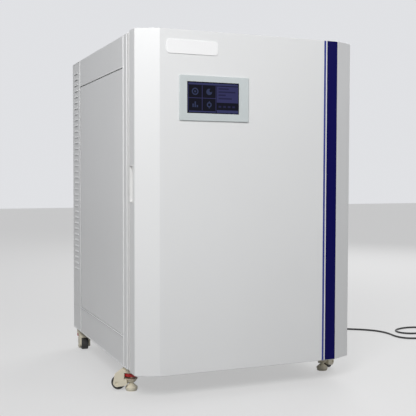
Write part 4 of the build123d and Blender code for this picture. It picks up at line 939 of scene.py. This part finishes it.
@dataclass
class Studio:
    """Floor, soft lights and the camera at the photograph's place."""

    place: tuple = (-0.94926, -2.38561, 0.61556)
    yaw: float = 22.28731
    pitch: float = 2.42250
    roll: float = 0.13597
    lens: float = 67.443
    ambient: float = 0.24
    backdrop: float = 0.78
    floor_lift: float = 0.44

    def camera(self) -> None:
        """Puts the camera at its place: it looks along +Y, turned to the right, down and rolled."""
        yaw, pitch, roll = (math.radians(v) for v in (self.yaw, self.pitch, self.roll))
        ahead = Vector((math.sin(yaw) * math.cos(pitch), math.cos(yaw) * math.cos(pitch), -math.sin(pitch)))
        level = Vector((math.cos(yaw), -math.sin(yaw), 0.0))
        above = level.cross(ahead)
        right = math.cos(roll) * level + math.sin(roll) * above
        up = math.cos(roll) * above - math.sin(roll) * level
        data = bpy.data.cameras.new("camera")
        data.sensor_width = 36.0
        data.lens = self.lens
        data.clip_end = 60.0
        camera = bpy.data.objects.new("camera", data)
        bpy.context.scene.collection.objects.link(camera)
        turn = Matrix((right, up, -ahead)).transposed().to_4x4()
        camera.matrix_world = Matrix.Translation(self.place) @ turn
        bpy.context.scene.camera = camera

    def floor(self) -> None:
        """A wide, plain floor that is lifted to a pale grey where it is seen, and keeps its shadows."""
        reach = 12.0
        mesh = bpy.data.meshes.new("floor")
        mesh.from_pydata([(-reach, -reach, 0), (reach, -reach, 0), (reach, reach, 0), (-reach, reach, 0)],
                         [], [(0, 1, 2, 3)])
        floor = bpy.data.objects.new("floor", mesh)
        bpy.context.scene.collection.objects.link(floor)
        tree = Coating("pale_floor")
        lift = tree.mix(tree.seen(), (0.0, 0.0, 0.0), (self.floor_lift,) * 3)
        tree.set(Base_Color=(0.32, 0.32, 0.32), Roughness=0.75, Specular_IOR_Level=0.2,
                 Emission_Color=lift, Emission_Strength=1.0)
        mesh.materials.append(tree.owner)

    def sky(self) -> None:
        """An even light from all round, shown as a pale backdrop where it is seen."""
        world = bpy.data.worlds.new("studio")
        bpy.context.scene.world = world
        tree = Tree(world)
        strength = tree.seen() * (self.backdrop - self.ambient) + self.ambient
        light = tree.node("Background", values={"Color": (0.96, 0.97, 1.0), "Strength": strength})
        output = tree.nodes.new("ShaderNodeOutputWorld")
        tree.feed(output.inputs["Surface"], light)

    def lamp(self, name: str, place: tuple, aim: tuple, size: float, power: float) -> None:
        """A square soft box.

        Args:
            name: the lamp's name.
            place: where it stands.
            aim: the point that it faces.
            size: the length of its side, in metres.
            power: its power in watts.
        """
        data = bpy.data.lights.new(name, "AREA")
        data.size = size
        data.energy = power
        lamp = bpy.data.objects.new(name, data)
        bpy.context.scene.collection.objects.link(lamp)
        towards = Vector(aim) - Vector(place)
        lamp.matrix_world = (Matrix.Translation(place)
                             @ towards.to_track_quat("-Z", "Y").to_matrix().to_4x4())

    def build(self) -> None:
        """Everything that isn't part of the incubator."""
        self.camera()
        self.floor()
        self.sky()
        self.lamp("key", (-1.6, -2.45, 2.2), (0.0, -0.1, 0.6), 1.3, 72.0)
        self.lamp("fill", (1.6, -1.9, 2.0), (0.1, -0.2, 0.7), 1.4, 10.0)
        self.lamp("rear", (2.4, 2.6, 2.4), (0.0, 0.3, 0.6), 2.2, 55.0)
        bpy.context.scene.view_settings.view_transform = "Standard"


def dress_nodes(materials: dict[str, bpy.types.Material]) -> None:
    """Gives each carried-over node the finish of its slot in the record.

    Args:
        materials: the finished materials by their slots.
    """
    for row in frame["record"]["subparts"]:
        node = frame["nodes"][row["node"]]
        node.data.materials.clear()
        node.data.materials.append(materials[row["material_slot"]])
        log.info("%s: %s", row["node"], row["material_slot"])


def main() -> None:
    """Builds the scene in order and reports each piece."""
    logging.basicConfig(level=logging.INFO, format="%(message)s")
    Studio().build()
    log.info("studio ready")
    materials = {finish.name: finish.make() for finish in FINISHES}
    lead = Lead().build(materials["black_cord"])
    log.info("lead ready: %s", lead.name)
    screws = PanScrews().build(materials["zinc_steel"])
    log.info("screws ready: %s", screws.name)
    beads = EdgeBeads().build(materials["white_coat"])
    log.info("beads ready: %s", beads.name)
    dress_nodes(materials)


if __name__ == "__main__":
    main()
